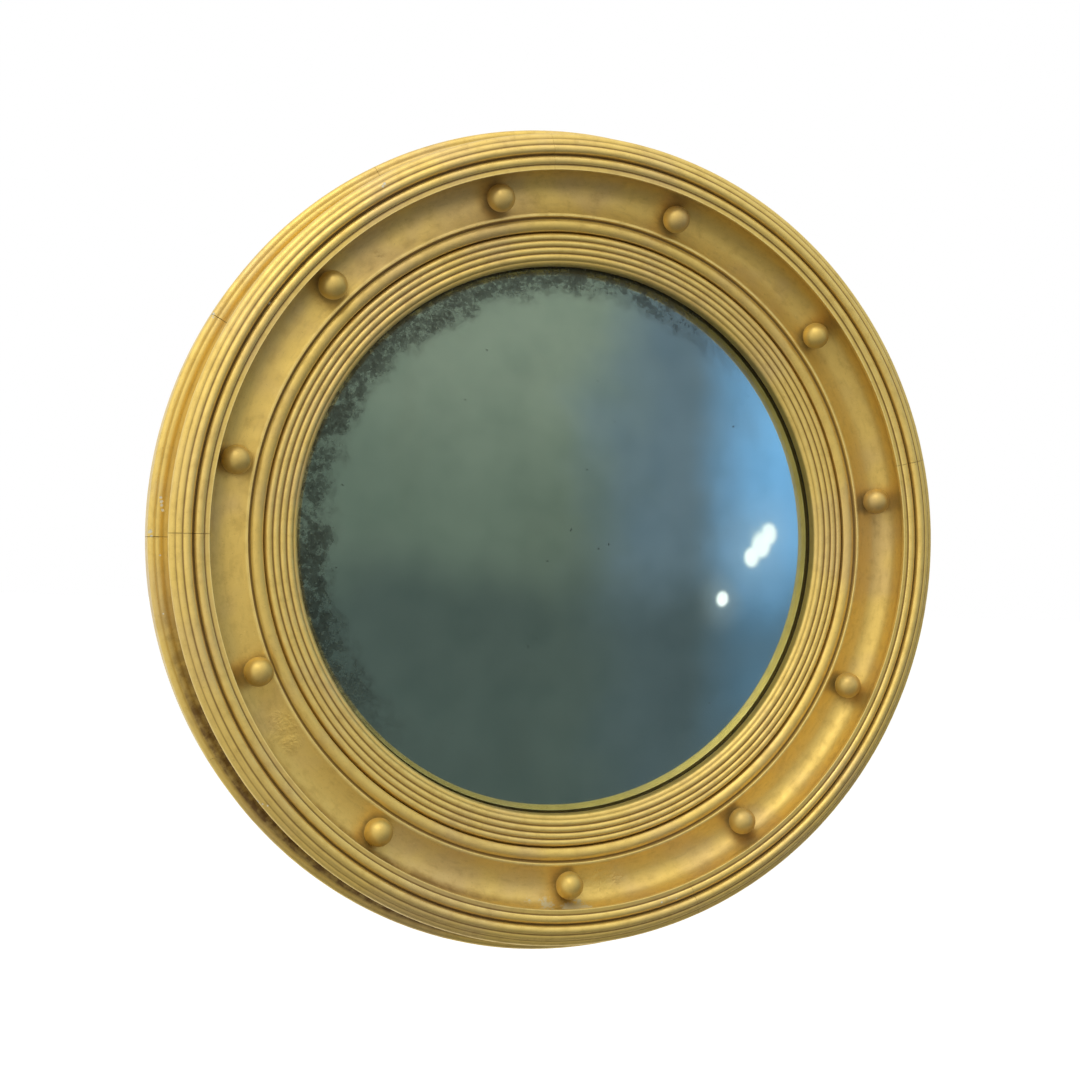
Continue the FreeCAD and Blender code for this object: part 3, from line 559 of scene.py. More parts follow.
def gold_paint(name, colours, browned=0.0, chips=(), smears=(), wrinkles=()):
    """Old gold paint over gesso: worn crests, dark grooves, streaks, specks and chips, with the
    dirt and painted shade that a piece stores on its vertices.

    Browned is the least share of dirt anywhere. The last three are marks for spots.
    """
    paint = Finish(name)
    hollow, shelter = paint.attribute("hollow"), paint.attribute("shelter")
    grime_and_shade, seam = paint.attribute("grime_and_shade"), paint.attribute("seam")
    grain = paint.attribute("grain", "Vector")
    brushed = paint.noise(1, 2, 0.5, paint.scaled(grain, (24, 24, 380)))
    cloud = paint.noise(15, 3, 0.55)
    mottle = paint.noise(130, 4, 0.62)
    speck = paint.noise(900, 2, 0.7)

    worn = paint.span(paint.total(hollow, paint.product(mottle, 0.5)), 0.05, -0.75)
    colour = paint.mix(paint.span(cloud, 0.45, 0.68, 0.0, 0.55), colours.gold, colours.dull)
    colour = paint.mix(paint.product(worn, 0.75), colour, colours.rubbed)
    colour = paint.mix(paint.span(mottle, 0.50, 0.72, 0.0, 0.10), colour, colours.recess)
    colour = paint.mix(paint.span(brushed, 0.5, 0.75, 0.0, 0.12), colour, colours.recess)
    colour = paint.mix(paint.span(speck, 0.60, 0.8, 0.0, 0.30), colour, colours.recess)
    colour = paint.mix(paint.span(speck, 0.36, 0.22, 0.0, 0.4), colour, colours.rubbed)
    depth = paint.total(hollow, paint.product(shelter, 0.55), paint.product(mottle, 0.3))
    # dirt also takes the stored darkening: dirt and painted shade round the balls' feet, under the
    # lip and rim at the lower left, and on the balls' backs
    dirt = paint.largest(paint.span(depth, 0.15, 1.45, 0.0, 0.85), browned,
                         paint.product(grime_and_shade, paint.span(mottle, 0.35, 0.62, 0.55, 1.0)),
                         paint.product(seam, paint.span(mottle, 0.4, 0.6, 0.4, 0.95)))
    colour = paint.mix(dirt, colour, colours.recess)
    rough = paint.total(paint.span(mottle, 0.3, 0.7, 0.35, 0.47), paint.product(dirt, 0.15))
    heights = [(mottle, 0.22 * MM, 0.35), (brushed, 0.08 * MM, 0.25), (speck, 0.07 * MM, 0.4)]
    metal = paint.span(dirt, 0.0, 1.0, 0.74, 0.3)
    if smears:
        smear = paint.spots(smears, 0.5)
        colour = paint.mix(paint.product(smear, 0.62), colour, colours.verdigris)
        metal = paint.product(metal, paint.less(1.0, paint.product(smear, 0.5)))
    if chips:
        chip = paint.spots(chips, 0.6)
        colour = paint.mix(chip, colour, colours.gesso)
        metal = paint.product(metal, paint.less(1.0, chip))
        rough = paint.total(rough, paint.product(chip, 0.4))
        heights.append((paint.less(1.0, chip), 0.2 * MM, 0.6))
    if wrinkles:
        fold = paint.noise(260, 3, 0.6, distortion=1.0)
        heights.append((paint.product(paint.spots(wrinkles, 0.3, 0.95), fold), 1.2 * MM, 0.6))
    paint.set("Base Color", colour)
    paint.set("Metallic", metal)
    paint.set("Roughness", rough)
    paint.bump(*heights)
    return paint.material


def clear_glass(name):
    """Old polished glass with a faint green body. Any roughness would change what it reflects."""
    glass = Finish(name)
    smudge = glass.noise(34, 4, 0.6)
    glass.set("Base Color", glass.mix(glass.span(smudge, 0.4, 0.7), (0.90, 0.955, 0.93),
                                      (0.86, 0.925, 0.90)))
    glass.set("Transmission Weight", 1.0)
    glass.set("IOR", 1.5)
    glass.set("Roughness", 0.0)
    return glass.material


FOXED_SIDE = math.radians(138)
FOXED_WIDTH = 20 * MM
WIPED_GREY, WIPED_LINE, PALE_FLECK = (0.40, 0.42, 0.34), (0.60, 0.66, 0.66), (0.56, 0.60, 0.52)
# old wiping marks: the middle of the arcs across and up, their spacing and how far they show
WIPED_ARCS = (
    (0.0, 0.0, 0.0085, 0.5), (0.16, -0.12, 0.013, 0.40), (-0.30, -0.10, 0.021, 0.35),
)


def silvering_finish(name, colours, sight_radius):
    """Silvering that has foxed from its edge inwards, most at the top and on the left, with a
    painted shade line where the slip meets the glass.
    """
    silver = Finish(name)
    across, up = silver.sideways_and_up()
    radius = silver.math("SQRT", silver.total(
        silver.product(across, across), silver.product(up, up)))
    towards = silver.math("DIVIDE", silver.total(
        silver.product(across, math.cos(FOXED_SIDE)), silver.product(up, math.sin(FOXED_SIDE))),
        silver.largest(radius, MM))
    drift = silver.less(silver.noise(36, 5, 0.7), 0.5)
    inwards = silver.total(silver.less(sight_radius, radius), silver.product(drift, 34 * MM))
    band = silver.product(silver.span(towards, -0.25, 0.6), silver.span(
        inwards, FOXED_WIDTH + 6 * MM, FOXED_WIDTH - 8 * MM))
    fine, clump = silver.noise(380, 5, 0.75), silver.noise(105, 5, 0.7)
    foxing = silver.product(band, silver.span(clump, 0.36, 0.56, 0.30, 1.0),
                            silver.span(fine, 0.36, 0.54, 0.55, 1.0), 0.86)
    # a painted shade line at the sight edge, where the slip shades the glass
    edge_shade = silver.span(radius, sight_radius - 0.8 * MM, sight_radius, 0.0, 0.4)
    stray = silver.span(silver.noise(230, 3, 0.6), 0.70, 0.76, 0.0, 0.5)
    # from here foxing also holds that painted shade line
    foxing = silver.largest(foxing, edge_shade, stray)
    flecks = silver.product(silver.span(silver.noise(560, 3, 0.65), 0.60, 0.68),
                            silver.total(0.08, silver.product(band, 0.8)))
    wiped = silver.noise(1, 4, 0.6, silver.scaled(silver.place, (26, 26, 9)), 1.2)
    haze = silver.noise(9, 4, 0.55)

    colour = silver.mix(silver.span(haze, 0.38, 0.66, 0.0, 0.5), colours.silver,
                        tuple(0.80 * part for part in colours.silver))
    colour = silver.mix(silver.span(wiped, 0.5, 0.72, 0.0, 0.10), colour, WIPED_GREY)
    for centre_x, centre_z, spacing, strength in WIPED_ARCS:
        wave = silver.math("FRACT", silver.math("DIVIDE", silver.total(
            silver.away_from((centre_x, -0.03, centre_z)), silver.product(drift, 6 * MM)),
            spacing))
        line = silver.span(silver.math("ABSOLUTE", silver.less(wave, 0.5)), 0.10, 0.0)
        patches = silver.span(silver.noise(14 + 300 * spacing, 2, 0.5), 0.5, 0.68, 0.0, strength)
        colour = silver.mix(silver.product(line, patches), colour, WIPED_LINE)
    colour = silver.mix(foxing, colour, colours.foxed)
    colour = silver.mix(flecks, colour, PALE_FLECK)
    silver.set("Base Color", colour)
    silver.set("Metallic", silver.span(silver.largest(foxing, flecks), 0, 1, 1.0, 0.3))
    silver.set("Roughness", silver.total(
        silver.span(haze, 0.4, 0.7, 0.03, 0.06), silver.span(wiped, 0.5, 0.75, 0.0, 0.04),
        silver.product(foxing, 0.3)))
    silver.bump((silver.noise(8, 0, 0.5), 0.10 * MM, 0.15))
    return silver.material


def bare_wood(name, light, dark, along, rings_shown=0.5):
    """Bare wood with rings, grain, pores and stains. Along stretches the grain."""
    wood = Finish(name)
    run = wood.scaled(wood.place, along)
    warp = wood.noise(3.5, 2, 0.5, run, 0.8)
    rings = wood.math("FRACT", wood.product(wood.total(warp, wood.noise(1.2, 2, 0.4, run)), 9.0))
    band = wood.span(rings, 0.0, 0.95, 1.0, 0.0)
    grain = wood.noise(34, 4, 0.65, run)
    pores = wood.noise(260, 3, 0.6, run)
    spots = wood.noise(8, 4, 0.6)
    colour = wood.mix(wood.product(band, rings_shown), light, dark)
    colour = wood.mix(wood.span(grain, 0.42, 0.72, 0.0, 0.55), colour, dark)
    colour = wood.mix(wood.span(pores, 0.56, 0.75, 0.0, 0.6), colour,
                      tuple(0.45 * part for part in dark))
    colour = wood.mix(wood.span(spots, 0.5, 0.72, 0.0, 0.35), colour,
                      tuple(0.5 * part for part in dark))
    wood.set("Base Color", colour)
    wood.set("Roughness", wood.span(grain, 0.3, 0.7, 0.6, 0.82))
    wood.set("Specular IOR Level", 0.3)
    wood.bump((grain, 0.2 * MM, 0.3), (pores, 0.12 * MM, 0.45))
    return wood.material


def dull_metal(name, bright, tarnish, rough):
    """Handled metal with tarnish, fine scratches and spots."""
    metal = Finish(name)
    cloud = metal.noise(120, 4, 0.6)
    scratch = metal.noise(1, 3, 0.6, metal.scaled(metal.place, (2600, 700, 260)))
    pit = metal.noise(1500, 2, 0.6)
    tarnished = metal.span(cloud, 0.42, 0.66, 0.0, 0.85)
    metal.set("Base Color", metal.mix(tarnished, bright, tarnish))
    metal.set("Metallic", metal.span(tarnished, 0, 1, 1.0, 0.7))
    metal.set("Roughness", metal.total(
        rough, metal.product(tarnished, 0.25), metal.span(scratch, 0.4, 0.7, -0.05, 0.08)))
    metal.bump((pit, 0.03 * MM, 0.3), (scratch, 0.02 * MM, 0.25))
    return metal.material


# ---------------------------------------------------------------- the frame's sections

def rim_corners(place):
    """The rim moulding: lip, half-round, quirk, crown, two reeds and a hollow side.

    The numbers are heights over the lip and how far an edge bows, and then its steps.
    """
    step = place["wall"] + 0.2 * MM
    return [
        (step, BACK_FRONT), (step, COVE_LIP), (place["rim_lip"], COVE_LIP),
        (place["rim_lip"], RIM_LIP), (place["half_round"], RIM_LIP),
        (place["half_round"], RIM_LIP + 0.6 * MM, 2.1 * MM, 14),
        (place["quirk_in"], RIM_LIP - 1.4 * MM), (place["quirk"], RIM_LIP - 1.4 * MM),
        (place["crown_in"], RIM_LIP + 1.3 * MM, 1.7 * MM, 14),
        (place["crown"], RIM_LIP + 1.6 * MM, 0.8 * MM, 10),
        (place["rim_reed"], RIM_LIP + 0.3 * MM, 0.8 * MM, 10),
        (place["rim"], RIM_LIP - 2.0 * MM),
        (place["rim"], RIM_LIP - 4.4 * MM, -4.2 * MM, 22), (place["foot"], BACK_FRONT),
    ]


def bow(reach, rise):
    """How far an arc lies from its chord, if it is level at one end and spans reach and rise."""
    radius = (reach ** 2 + rise ** 2) / (2 * rise)
    half = math.hypot(reach, rise) / 2
    return math.sqrt(radius ** 2 - half ** 2) - radius


def cove_corners(place):
    """The hollow with its crest and bead, and the wall and rebates behind them."""
    shoulder, rebate = place["bore"] + SHOULDER_WIDTH, place["bore"] + BOARD_REBATE
    bead, crest = COVE_FLOOR - BEAD_DROP, COVE_FLOOR + FLOOR_DROP
    return [
        (rebate, BOARD_SEAT), (shoulder, BOARD_SEAT), (shoulder, SHOULDER_LEVEL),
        (place["bore"], SHOULDER_LEVEL), (place["bore"], bead, 2.3 * MM, 16),
        (place["bead"], bead), (place["crest_in"], crest),
        (place["crest"], crest, bow(place["balls"] - place["crest"], FLOOR_DROP), 12),
        (place["balls"], COVE_FLOOR, bow(place["lip"] - place["balls"], OUTER_RISE), 30),
        (place["lip"], COVE_LIP), (place["wall"], COVE_LIP), (place["wall"], 0), (rebate, 0),
    ]


def slip_corners(sizes, place):
    """The slip: its rebate for the glass, nose, falling reeds, quirk and flange."""
    rebate, flange = place["sight"] + GLASS_REBATE, place["slip"] + SHOULDER_WIDTH
    corners = [
        (rebate, SLIP_BACK), (rebate, SLIP_GLASS), (place["sight"], SLIP_GLASS),
        (place["sight"], SLIP_GLASS + SLIP_WALL, 1.1 * MM, 12),
    ]
    for number in range(sizes.reed_count, 0, -1):
        level = SLIP_REEDS - SLIP_FALL * (number / sizes.reed_count) ** 2
        corners.append((place["reeds"] - number * sizes.reed_width, level, 1.2 * MM, 12))
    return corners + [
        (place["reeds"], SLIP_REEDS), (place["slip"], SLIP_REEDS - 2.3 * MM),
        (place["slip"], SHOULDER_LEVEL), (flange, SHOULDER_LEVEL), (flange, SLIP_BACK),
    ]


def back_corners(place):
    """A block of the back ring: flat, then two low reeds out to its side."""
    inner = place["wall"] + 0.1 * MM
    return [
        (inner, 0), (inner, BACK_FRONT), (place["back_reed"], BACK_FRONT, 0.6 * MM, 10),
        (place["back_groove"], BACK_FRONT, 1.0 * MM, 12),
        (place["back"], BACK_FRONT - 2.0 * MM), (place["back"], 0),
    ]


GLASS_CURVE = 668 * MM
GLASS_APEX = 40.2 * MM
GLASS_THICKNESS = 3 * MM
SILVER_GAP = 0.05 * MM
SILVER_THICKNESS = 0.3 * MM
DISC_OVERHANG = 6.2 * MM
DISC_RINGS = 72
DISC_STEP = math.radians(1.25)


def domed_disc(radius, front_curve, thickness):
    """A domed disc, turned from half its section and closed at its middle."""
    centre = GLASS_APEX - GLASS_CURVE
    front, back = [], []
    for ring in range(DISC_RINGS + 1):
        reach = radius * ring / DISC_RINGS
        for face, curve in ((front, front_curve), (back, front_curve - thickness)):
            face.append((reach, -(centre + math.sqrt(curve ** 2 - reach ** 2)), 0))
    disc = bmesh.new()
    spun(disc, with_edges(disc, front + back[::-1]), FULL_TURN, DISC_STEP)
    return disc


# a screw's head radius and depth, shank radius and length
BOARD_SCREW = (3.4 * MM, 2.4 * MM, 1.5 * MM, 16 * MM)
STRAP_SCREW = (2.8 * MM, 1.2 * MM, 1.25 * MM, 14 * MM)
BOARD_SCREWS = 8
# how deep a board screw's head sits, and how far a strap screw's stands out
BOARD_SINK, STRAP_PROUD = 0.04 * MM, 1.16 * MM


def slotted_screw(into, centre, sizes, turn):
    """Add to a bmesh a countersunk screw with a slot, driven in from the back along -Y."""
    head_radius, head_depth, shank_radius, length = sizes
    screw = bmesh.new()
    slot_half, slot_depth = 0.14 * head_radius, 0.42 * head_depth
    profile = [(0, 0), (head_radius - 0.15 * MM, 0), (head_radius, 0.12 * MM),
               (shank_radius, head_depth), (shank_radius, length - shank_radius),
               (0.2 * MM, length), (0, length)]
    section = with_edges(screw, [(radius, 0, depth) for radius, depth in profile])
    bmesh.ops.spin(screw, geom=section, cent=(0, 0, 0), axis=(0, 0, 1), angle=FULL_TURN,
                   steps=36, use_merge=True)
    bmesh.ops.remove_doubles(screw, verts=screw.verts, dist=MERGE)
    bmesh.ops.dissolve_limit(screw, angle_limit=math.radians(1), verts=screw.verts,
                             edges=screw.edges)
    for side in (-slot_half, slot_half):
        bmesh.ops.bisect_plane(screw, geom=screw.verts[:] + screw.edges[:] + screw.faces[:],
                               plane_co=(side, 0, 0), plane_no=(1, 0, 0), dist=MERGE)
    floor = [face for face in screw.faces
             if abs(face.calc_center_median().z) < 0.02 * MM
             and abs(face.calc_center_median().x) < slot_half]
    sunk = bmesh.ops.extrude_face_region(screw, geom=floor)
    bmesh.ops.delete(screw, geom=floor, context="FACES")
    moved = [part for part in sunk["geom"] if isinstance(part, bmesh.types.BMVert)]
    bmesh.ops.translate(screw, verts=moved, vec=(0, 0, slot_depth))
    bmesh.ops.scale(screw, verts=moved, vec=(1, 1 - slot_depth / head_depth * 0.6, 1))
    bmesh.ops.recalc_face_normals(screw, faces=screw.faces)
    stand = (Matrix.Translation(centre) @ Matrix.Rotation(turn, 4, "Y")
             @ Matrix.Rotation(math.radians(90), 4, "X"))
    bmesh.ops.transform(screw, matrix=stand, verts=screw.verts)
    part = meshed("screw_part", screw)
    into.from_mesh(part)
    bpy.data.meshes.remove(part)


# ---------------------------------------------------------------- making the pieces

BACK_BLOCKS = 12
BACK_START = math.radians(2)
# a segment's two joints, in degrees, and how far each of them shows
RIM_SEGMENTS = (
    ("top_right", (15.0, 98.0), (0.8, 0.2)), ("top_left", (98.0, 181.5), (0.2, 0.7)),
    ("bottom_left", (181.5, 290.0), (0.7, 0.2)), ("bottom_right", (290.0, 375.0), (0.2, 0.8)),
)
# the joints of the back ring that show most, counted from its first block
OPEN_BACK_JOINTS = {5: 0.9, 6: 1.0}
FAINT_BACK_JOINT = 0.3
CAMERA_TARGET = Vector((0, -0.036, 0))
# small marks, each an angle in degrees and then a radius, a level and a size in millimetres
COVE_CHIPS = ((129.2, 216.2, 27.6, 0.5), (276.0, 214.5, 27.9, 0.5), (282.0, 228.0, 33.0, 0.5),
              (247.0, 231.5, 34.5, 0.4), (251.5, 232.0, 36.0, 0.4), (256.0, 231.0, 34.0, 0.5),
              (259.5, 232.4, 36.5, 0.4), (262.0, 231.5, 35.0, 0.4))
RIM_CHIPS = ((284.5, 236.9, 52.8, 0.7), (287.0, 238.2, 53.0, 0.8), (285.8, 235.6, 52.2, 0.6),
             (124.1, 248.9, 51.8, 1.0), (124.5, 248.2, 51.9, 0.8), (147.6, 241.0, 49.4, 0.7),
             (15.9, 238.6, 52.8, 0.6), (219.5, 253.0, 49.8, 0.8), (220.1, 251.5, 50.6, 0.6),
             (218.9, 254.0, 48.8, 0.7))
BACK_CHIPS = ((151.9, 262.6, 21.6, 1.2), (152.3, 262.0, 22.0, 0.8), (176.9, 257.6, 23.0, 0.8),
              (177.4, 257.2, 23.0, 0.9), (177.9, 256.8, 22.9, 0.8), (178.5, 256.3, 22.9, 0.9),
              (181.4, 262.4, 21.8, 1.3), (181.9, 261.8, 22.0, 0.9), (184.4, 257.2, 23.0, 0.6),
              (192.0, 258.6, 22.8, 0.6))
COVE_SMEARS = ((272.0, 230.6, 40.5, 8.0), (267.0, 228.5, 36.5, 6.0), (264.0, 227.0, 34.5, 4.0),
               (270.5, 233.0, 38.0, 5.0))
# where the paint has wrinkled
COVE_WRINKLES = ((276.9, 219.2, 27.5, 8.0), (279.5, 221.0, 27.8, 5.0), (213.1, 218.3, 27.2, 7.0),
                 (216.0, 219.5, 27.2, 5.0), (129.0, 216.0, 27.4, 3.0))

# the least share of dirt on the balls, which are browner than the frame
BALLS_BROWNED = 0.16
# how far the grain is stretched along each axis
RING_GRAIN, BOARD_GRAIN, BLOCK_GRAIN = (1, 1, 9), (12, 1, 1), (1, 1, 6)


def finish_called(context, name):
    """The finish of that name, made when it is first asked for."""
    gilt, glass = context.scene.mirror_gilt, context.scene.mirror_glass
    maker, *settings = {
        "gilt_cove": (gold_paint, gilt, 0.0, COVE_CHIPS, COVE_SMEARS, COVE_WRINKLES),
        "gilt_rim": (gold_paint, gilt, 0.0, RIM_CHIPS),
        "gilt_back_ring": (gold_paint, gilt, 0.0, BACK_CHIPS),
        "gilt_slip": (gold_paint, gilt),
        "gilt_balls": (gold_paint, gilt, BALLS_BROWNED),
        "old_glass": (clear_glass,),
        "foxed_silvering": (silvering_finish, glass, context.scene.mirror_frame.sight_radius),
        "bare_back_wood": (bare_wood, (0.30, 0.185, 0.095), (0.13, 0.07, 0.032), RING_GRAIN),
        "aged_plywood": (bare_wood, (0.36, 0.225, 0.115), (0.20, 0.11, 0.048), BOARD_GRAIN, 0.35),
        "softwood_blocks": (bare_wood, (0.52, 0.36, 0.18), (0.33, 0.19, 0.085), BLOCK_GRAIN),
        "dull_brass": (dull_metal, (0.52, 0.34, 0.11), (0.17, 0.10, 0.04), 0.34),
        "grey_steel": (dull_metal, (0.36, 0.35, 0.34), (0.15, 0.09, 0.055), 0.42),
    }[name]
    return bpy.data.materials.get(name) or maker(name, *settings)


def bare_behind(shaped):
    """Give the faces that lie against the wall the second material."""
    for face in shaped.faces:
        if face.normal.y > 0.7 and face.calc_center_median().y > -0.5 * MM:
            face.material_index = 1


def polar(vertex):
    """A vertex's angle in degrees, and its radius and level in millimetres."""
    place = vertex.co
    return (math.degrees(math.atan2(place.z, place.x)) % 360,
            math.hypot(place.x, place.z) / MM, -place.y / MM)


# the dirt and painted contact shade round the foot of each ball, and the most that any vertex gets
FOOT_GRIME_AND_SHADE, MOST_GRIME_AND_SHADE = 4.5 * MM, 0.95
# a painted shade line under the lip at the lower left, where the cove's outer wall turns steep: its
# middle and spread in degrees, the radius beyond which it lies, its middle level and half its
# height, and its strength
LINE_ANGLE, LINE_SPREAD, LINE_RADIUS = 238, 30, 225
LINE_LEVEL, LINE_HALF, LINE_STRENGTH = 34, 5, 0.9
# the dark wax and painted shadow under the rim at the lower left, where the undersides face away
# from the light:
# its middle and spread in degrees, its strength, the radii between which it lies, the level below
# which it lies, and how softly it ends
WAX_SHADE_ANGLE, WAX_SHADE_SPREAD, WAX_SHADE_STRENGTH = 232, 44, 1.5
WAX_SHADE_INNER, WAX_SHADE_OUTER, WAX_SHADE_SIDE_FADE = 250, 260.5, 1.5
WAX_SHADE_TOP, WAX_SHADE_TOP_FADE = 47, 3.0


def shaded_and_soiled_round_balls(shaped):
    """Store the dirt and painted contact shade round the foot of each ball, and the painted shade
    line under the lip.
    """
    layer = shaped.verts.layers.float.new("grime_and_shade")
    for vertex in shaped.verts:
        angle, radius, level = polar(vertex)
        if level > COVE_FLOOR / MM - 1:
            away = min((vertex.co - centre).length for centre in BALL_CENTRES)
            darkening = 1 - (away - BALL_RADIUS) / FOOT_GRIME_AND_SHADE
            # the painted shade line under the lip at the lower left
            off = abs(angle - LINE_ANGLE) / LINE_SPREAD
            if radius > LINE_RADIUS and off < 1:
                line = held(1 - abs(level - LINE_LEVEL) / LINE_HALF)
                darkening = max(darkening, LINE_STRENGTH * line * (1 - off ** 2))
            vertex[layer] = held(darkening, 0.0, MOST_GRIME_AND_SHADE)


def shaded_and_waxed_low_left(shaped):
    """Store the dark wax and painted shadow under the rim on the lower left."""
    layer = shaped.verts.layers.float.new("grime_and_shade")
    for vertex in shaped.verts:
        angle, radius, level = polar(vertex)
        if radius > WAX_SHADE_INNER:
            # dark wax and painted shadow, strongest at the lower left
            shown = held(WAX_SHADE_STRENGTH * (1 - (abs(angle - WAX_SHADE_ANGLE) / WAX_SHADE_SPREAD) ** 2))
            vertex[layer] = (shown * held((WAX_SHADE_OUTER - radius) / WAX_SHADE_SIDE_FADE)
                             * held((WAX_SHADE_TOP - level) / WAX_SHADE_TOP_FADE))


class MIRROR_OT_back_ring(bpy.types.Operator):
    """Build the glued blocks of the ring that lies on the wall"""

    bl_idname = "mirror.back_ring"
    bl_label = "Back ring"

    def execute(self, context):
        sizes = context.scene.mirror_frame
        profile = eased(outline(back_corners(radii(sizes))))
        sweep = FULL_TURN / BACK_BLOCKS
        finishes = [finish_called(context, name) for name in ("gilt_back_ring", "bare_back_wood")]
        for number in range(BACK_BLOCKS):
            joints = [OPEN_BACK_JOINTS.get(end, FAINT_BACK_JOINT) for end in (number, number + 1)]
            shaped = turned(profile, sizes.arc_step, BACK_START + number * sweep, sweep,
                            sizes.unevenness, joints)
            bare_behind(shaped)
            shaded_and_waxed_low_left(shaped)
            finished_object(f"back_block_{number + 1:02d}", shaped, finishes,
                            f"back_ring_block_{number + 1:02d}")
        return {"FINISHED"}


class MIRROR_OT_rim(bpy.types.Operator):
    """Build the four segments of the reeded rim moulding"""

    bl_idname = "mirror.rim"
    bl_label = "Rim moulding"

    def execute(self, context):
        sizes = context.scene.mirror_frame
        profile = eased(outline(rim_corners(radii(sizes))))
        for name, (first, last), joints in RIM_SEGMENTS:
            shaped = turned(profile, sizes.arc_step, math.radians(first),
                            math.radians(last - first), sizes.unevenness, joints)
            shaded_and_waxed_low_left(shaped)
            finished_object(f"rim_{name}", shaped, [finish_called(context, "gilt_rim")],
                            f"rim_segment_{name}")
        return {"FINISHED"}


class MIRROR_OT_cove(bpy.types.Operator):
    """Build the hollow that holds the balls, with its crest and bead"""

    bl_idname = "mirror.cove"
    bl_label = "Cove ring"

    def execute(self, context):
        sizes = context.scene.mirror_frame
        profile = eased(outline(cove_corners(radii(sizes))))
        shaped = turned(profile, sizes.arc_step, unevenness=sizes.unevenness)
        bare_behind(shaped)
        shaded_and_soiled_round_balls(shaped)
        finishes = [finish_called(context, name) for name in ("gilt_cove", "bare_back_wood")]
        finished_object("hollow_ring", shaped, finishes, "cove_ring")
        return {"FINISHED"}


# the slip is crisper than the rest: how far its grooves fill and its edges round, and the share
# of the unevenness that it has
SLIP_GROOVE, SLIP_EDGE, SLIP_EVENER = 0.6 * MM, 0.3 * MM, 0.6


class MIRROR_OT_slip(bpy.types.Operator):
    """Build the reeded ring that holds the glass"""

    bl_idname = "mirror.slip"
    bl_label = "Reeded slip"

    def execute(self, context):
        sizes = context.scene.mirror_frame
        profile = eased(outline(slip_corners(sizes, radii(sizes))), SLIP_GROOVE, SLIP_EDGE)
        shaped = turned(profile, sizes.arc_step, unevenness=SLIP_EVENER * sizes.unevenness)
        finished_object("glass_slip", shaped, [finish_called(context, "gilt_slip")],
                        "reeded_slip")
        return {"FINISHED"}


# a ball's dents, and how far towards the wall its own dirt and painted contact shade start and how
# softly
BALL_DENT, GRIME_SHADE_START, GRIME_SHADE_FADE = 0.22 * MM, 0.30, 0.6


class MIRROR_OT_balls(bpy.types.Operator):
    """Build the balls that stand in the hollow"""

    bl_idname = "mirror.balls"
    bl_label = "Balls"

    def execute(self, context):
        for number, (node, centre) in enumerate(zip(BALL_NODES, BALL_CENTRES)):
            ball = bmesh.new()
            bmesh.ops.create_icosphere(ball, subdivisions=5, radius=BALL_RADIUS)
            turn = Matrix.Rotation(number * 1.7, 4, "Y") @ Matrix.Rotation(0.4, 4, "X")
            bmesh.ops.transform(ball, matrix=turn, verts=ball.verts)
            layer = ball.verts.layers.float.new("grime_and_shade")
            for vertex in ball.verts:
                way = vertex.co.normalized()
                dent = noise.noise(way * 1.6 + Vector((number * 3.1, 0, 0)))
                vertex.co -= way * (0.5 + 0.5 * dent) * BALL_DENT
                # dirt and painted contact shade on the half of the ball that sits in the hollow
                vertex[layer] = held((way.y - GRIME_SHADE_START) / GRIME_SHADE_FADE)
            bmesh.ops.translate(ball, vec=centre, verts=ball.verts)
            finished_object(f"hollow_{node}", ball, [finish_called(context, "gilt_balls")],
                            node)
        return {"FINISHED"}


class MIRROR_OT_glass(bpy.types.Operator):
    """Build the domed glass and the silvering behind it"""

    bl_idname = "mirror.glass"
    bl_label = "Glass and silvering"

    def execute(self, context):
        radius = context.scene.mirror_frame.sight_radius + DISC_OVERHANG
        silver_curve = GLASS_CURVE - GLASS_THICKNESS - SILVER_GAP
        for name, curve, thickness, finish, node, slot in (
                ("domed_glass", GLASS_CURVE, GLASS_THICKNESS, "old_glass", "convex_glass",
                 "glass"),
                ("silver_coat", silver_curve, SILVER_THICKNESS, "foxed_silvering", "silvering",
                 "silvering")):
            finished_object(name, domed_disc(radius, curve, thickness),
                            [finish_called(context, finish)], node, math.radians(40))
        return {"FINISHED"}


class MIRROR_OT_back(bpy.types.Operator):
    """Finish the backboard, blocks and pins, and build the slotted screws"""

    bl_idname = "mirror.back"
    bl_label = "Back and screws"

    def execute(self, context):
        for node, name in (("backboard", "aged_plywood"), ("glazing_blocks", "softwood_blocks"),
                           ("ball_pins", "grey_steel"), ("hanger_strap", "dull_brass"),
                           ("hanger_ring", "dull_brass")):
            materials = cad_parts[node].data.materials
            materials.clear()
            materials.append(finish_called(context, name))
        steel, sharp = [finish_called(context, "grey_steel")], math.radians(30)
        screws = bmesh.new()
        board_circle = radii(context.scene.mirror_frame)["bead"]
        for number in range(BOARD_SCREWS):
            angle = number * FULL_TURN / BOARD_SCREWS
            slotted_screw(screws, Vector((board_circle * math.cos(angle), -BOARD_SINK,
                                          board_circle * math.sin(angle))),
                          BOARD_SCREW, 0.5 + number * 1.9)
        finished_object("board_screws", screws, steel, "backboard_screws", sharp)
        screws = bmesh.new()
        low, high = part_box("hanger_screws")
        head = STRAP_SCREW[0]
        for height, turn in ((low.z + head, 0.3), (high.z - head, 1.2)):
            slotted_screw(screws, Vector((0, STRAP_PROUD, height)), STRAP_SCREW, turn)
        finished_object("strap_screws", screws, steel, "hanger_screws", sharp)
        return {"FINISHED"}


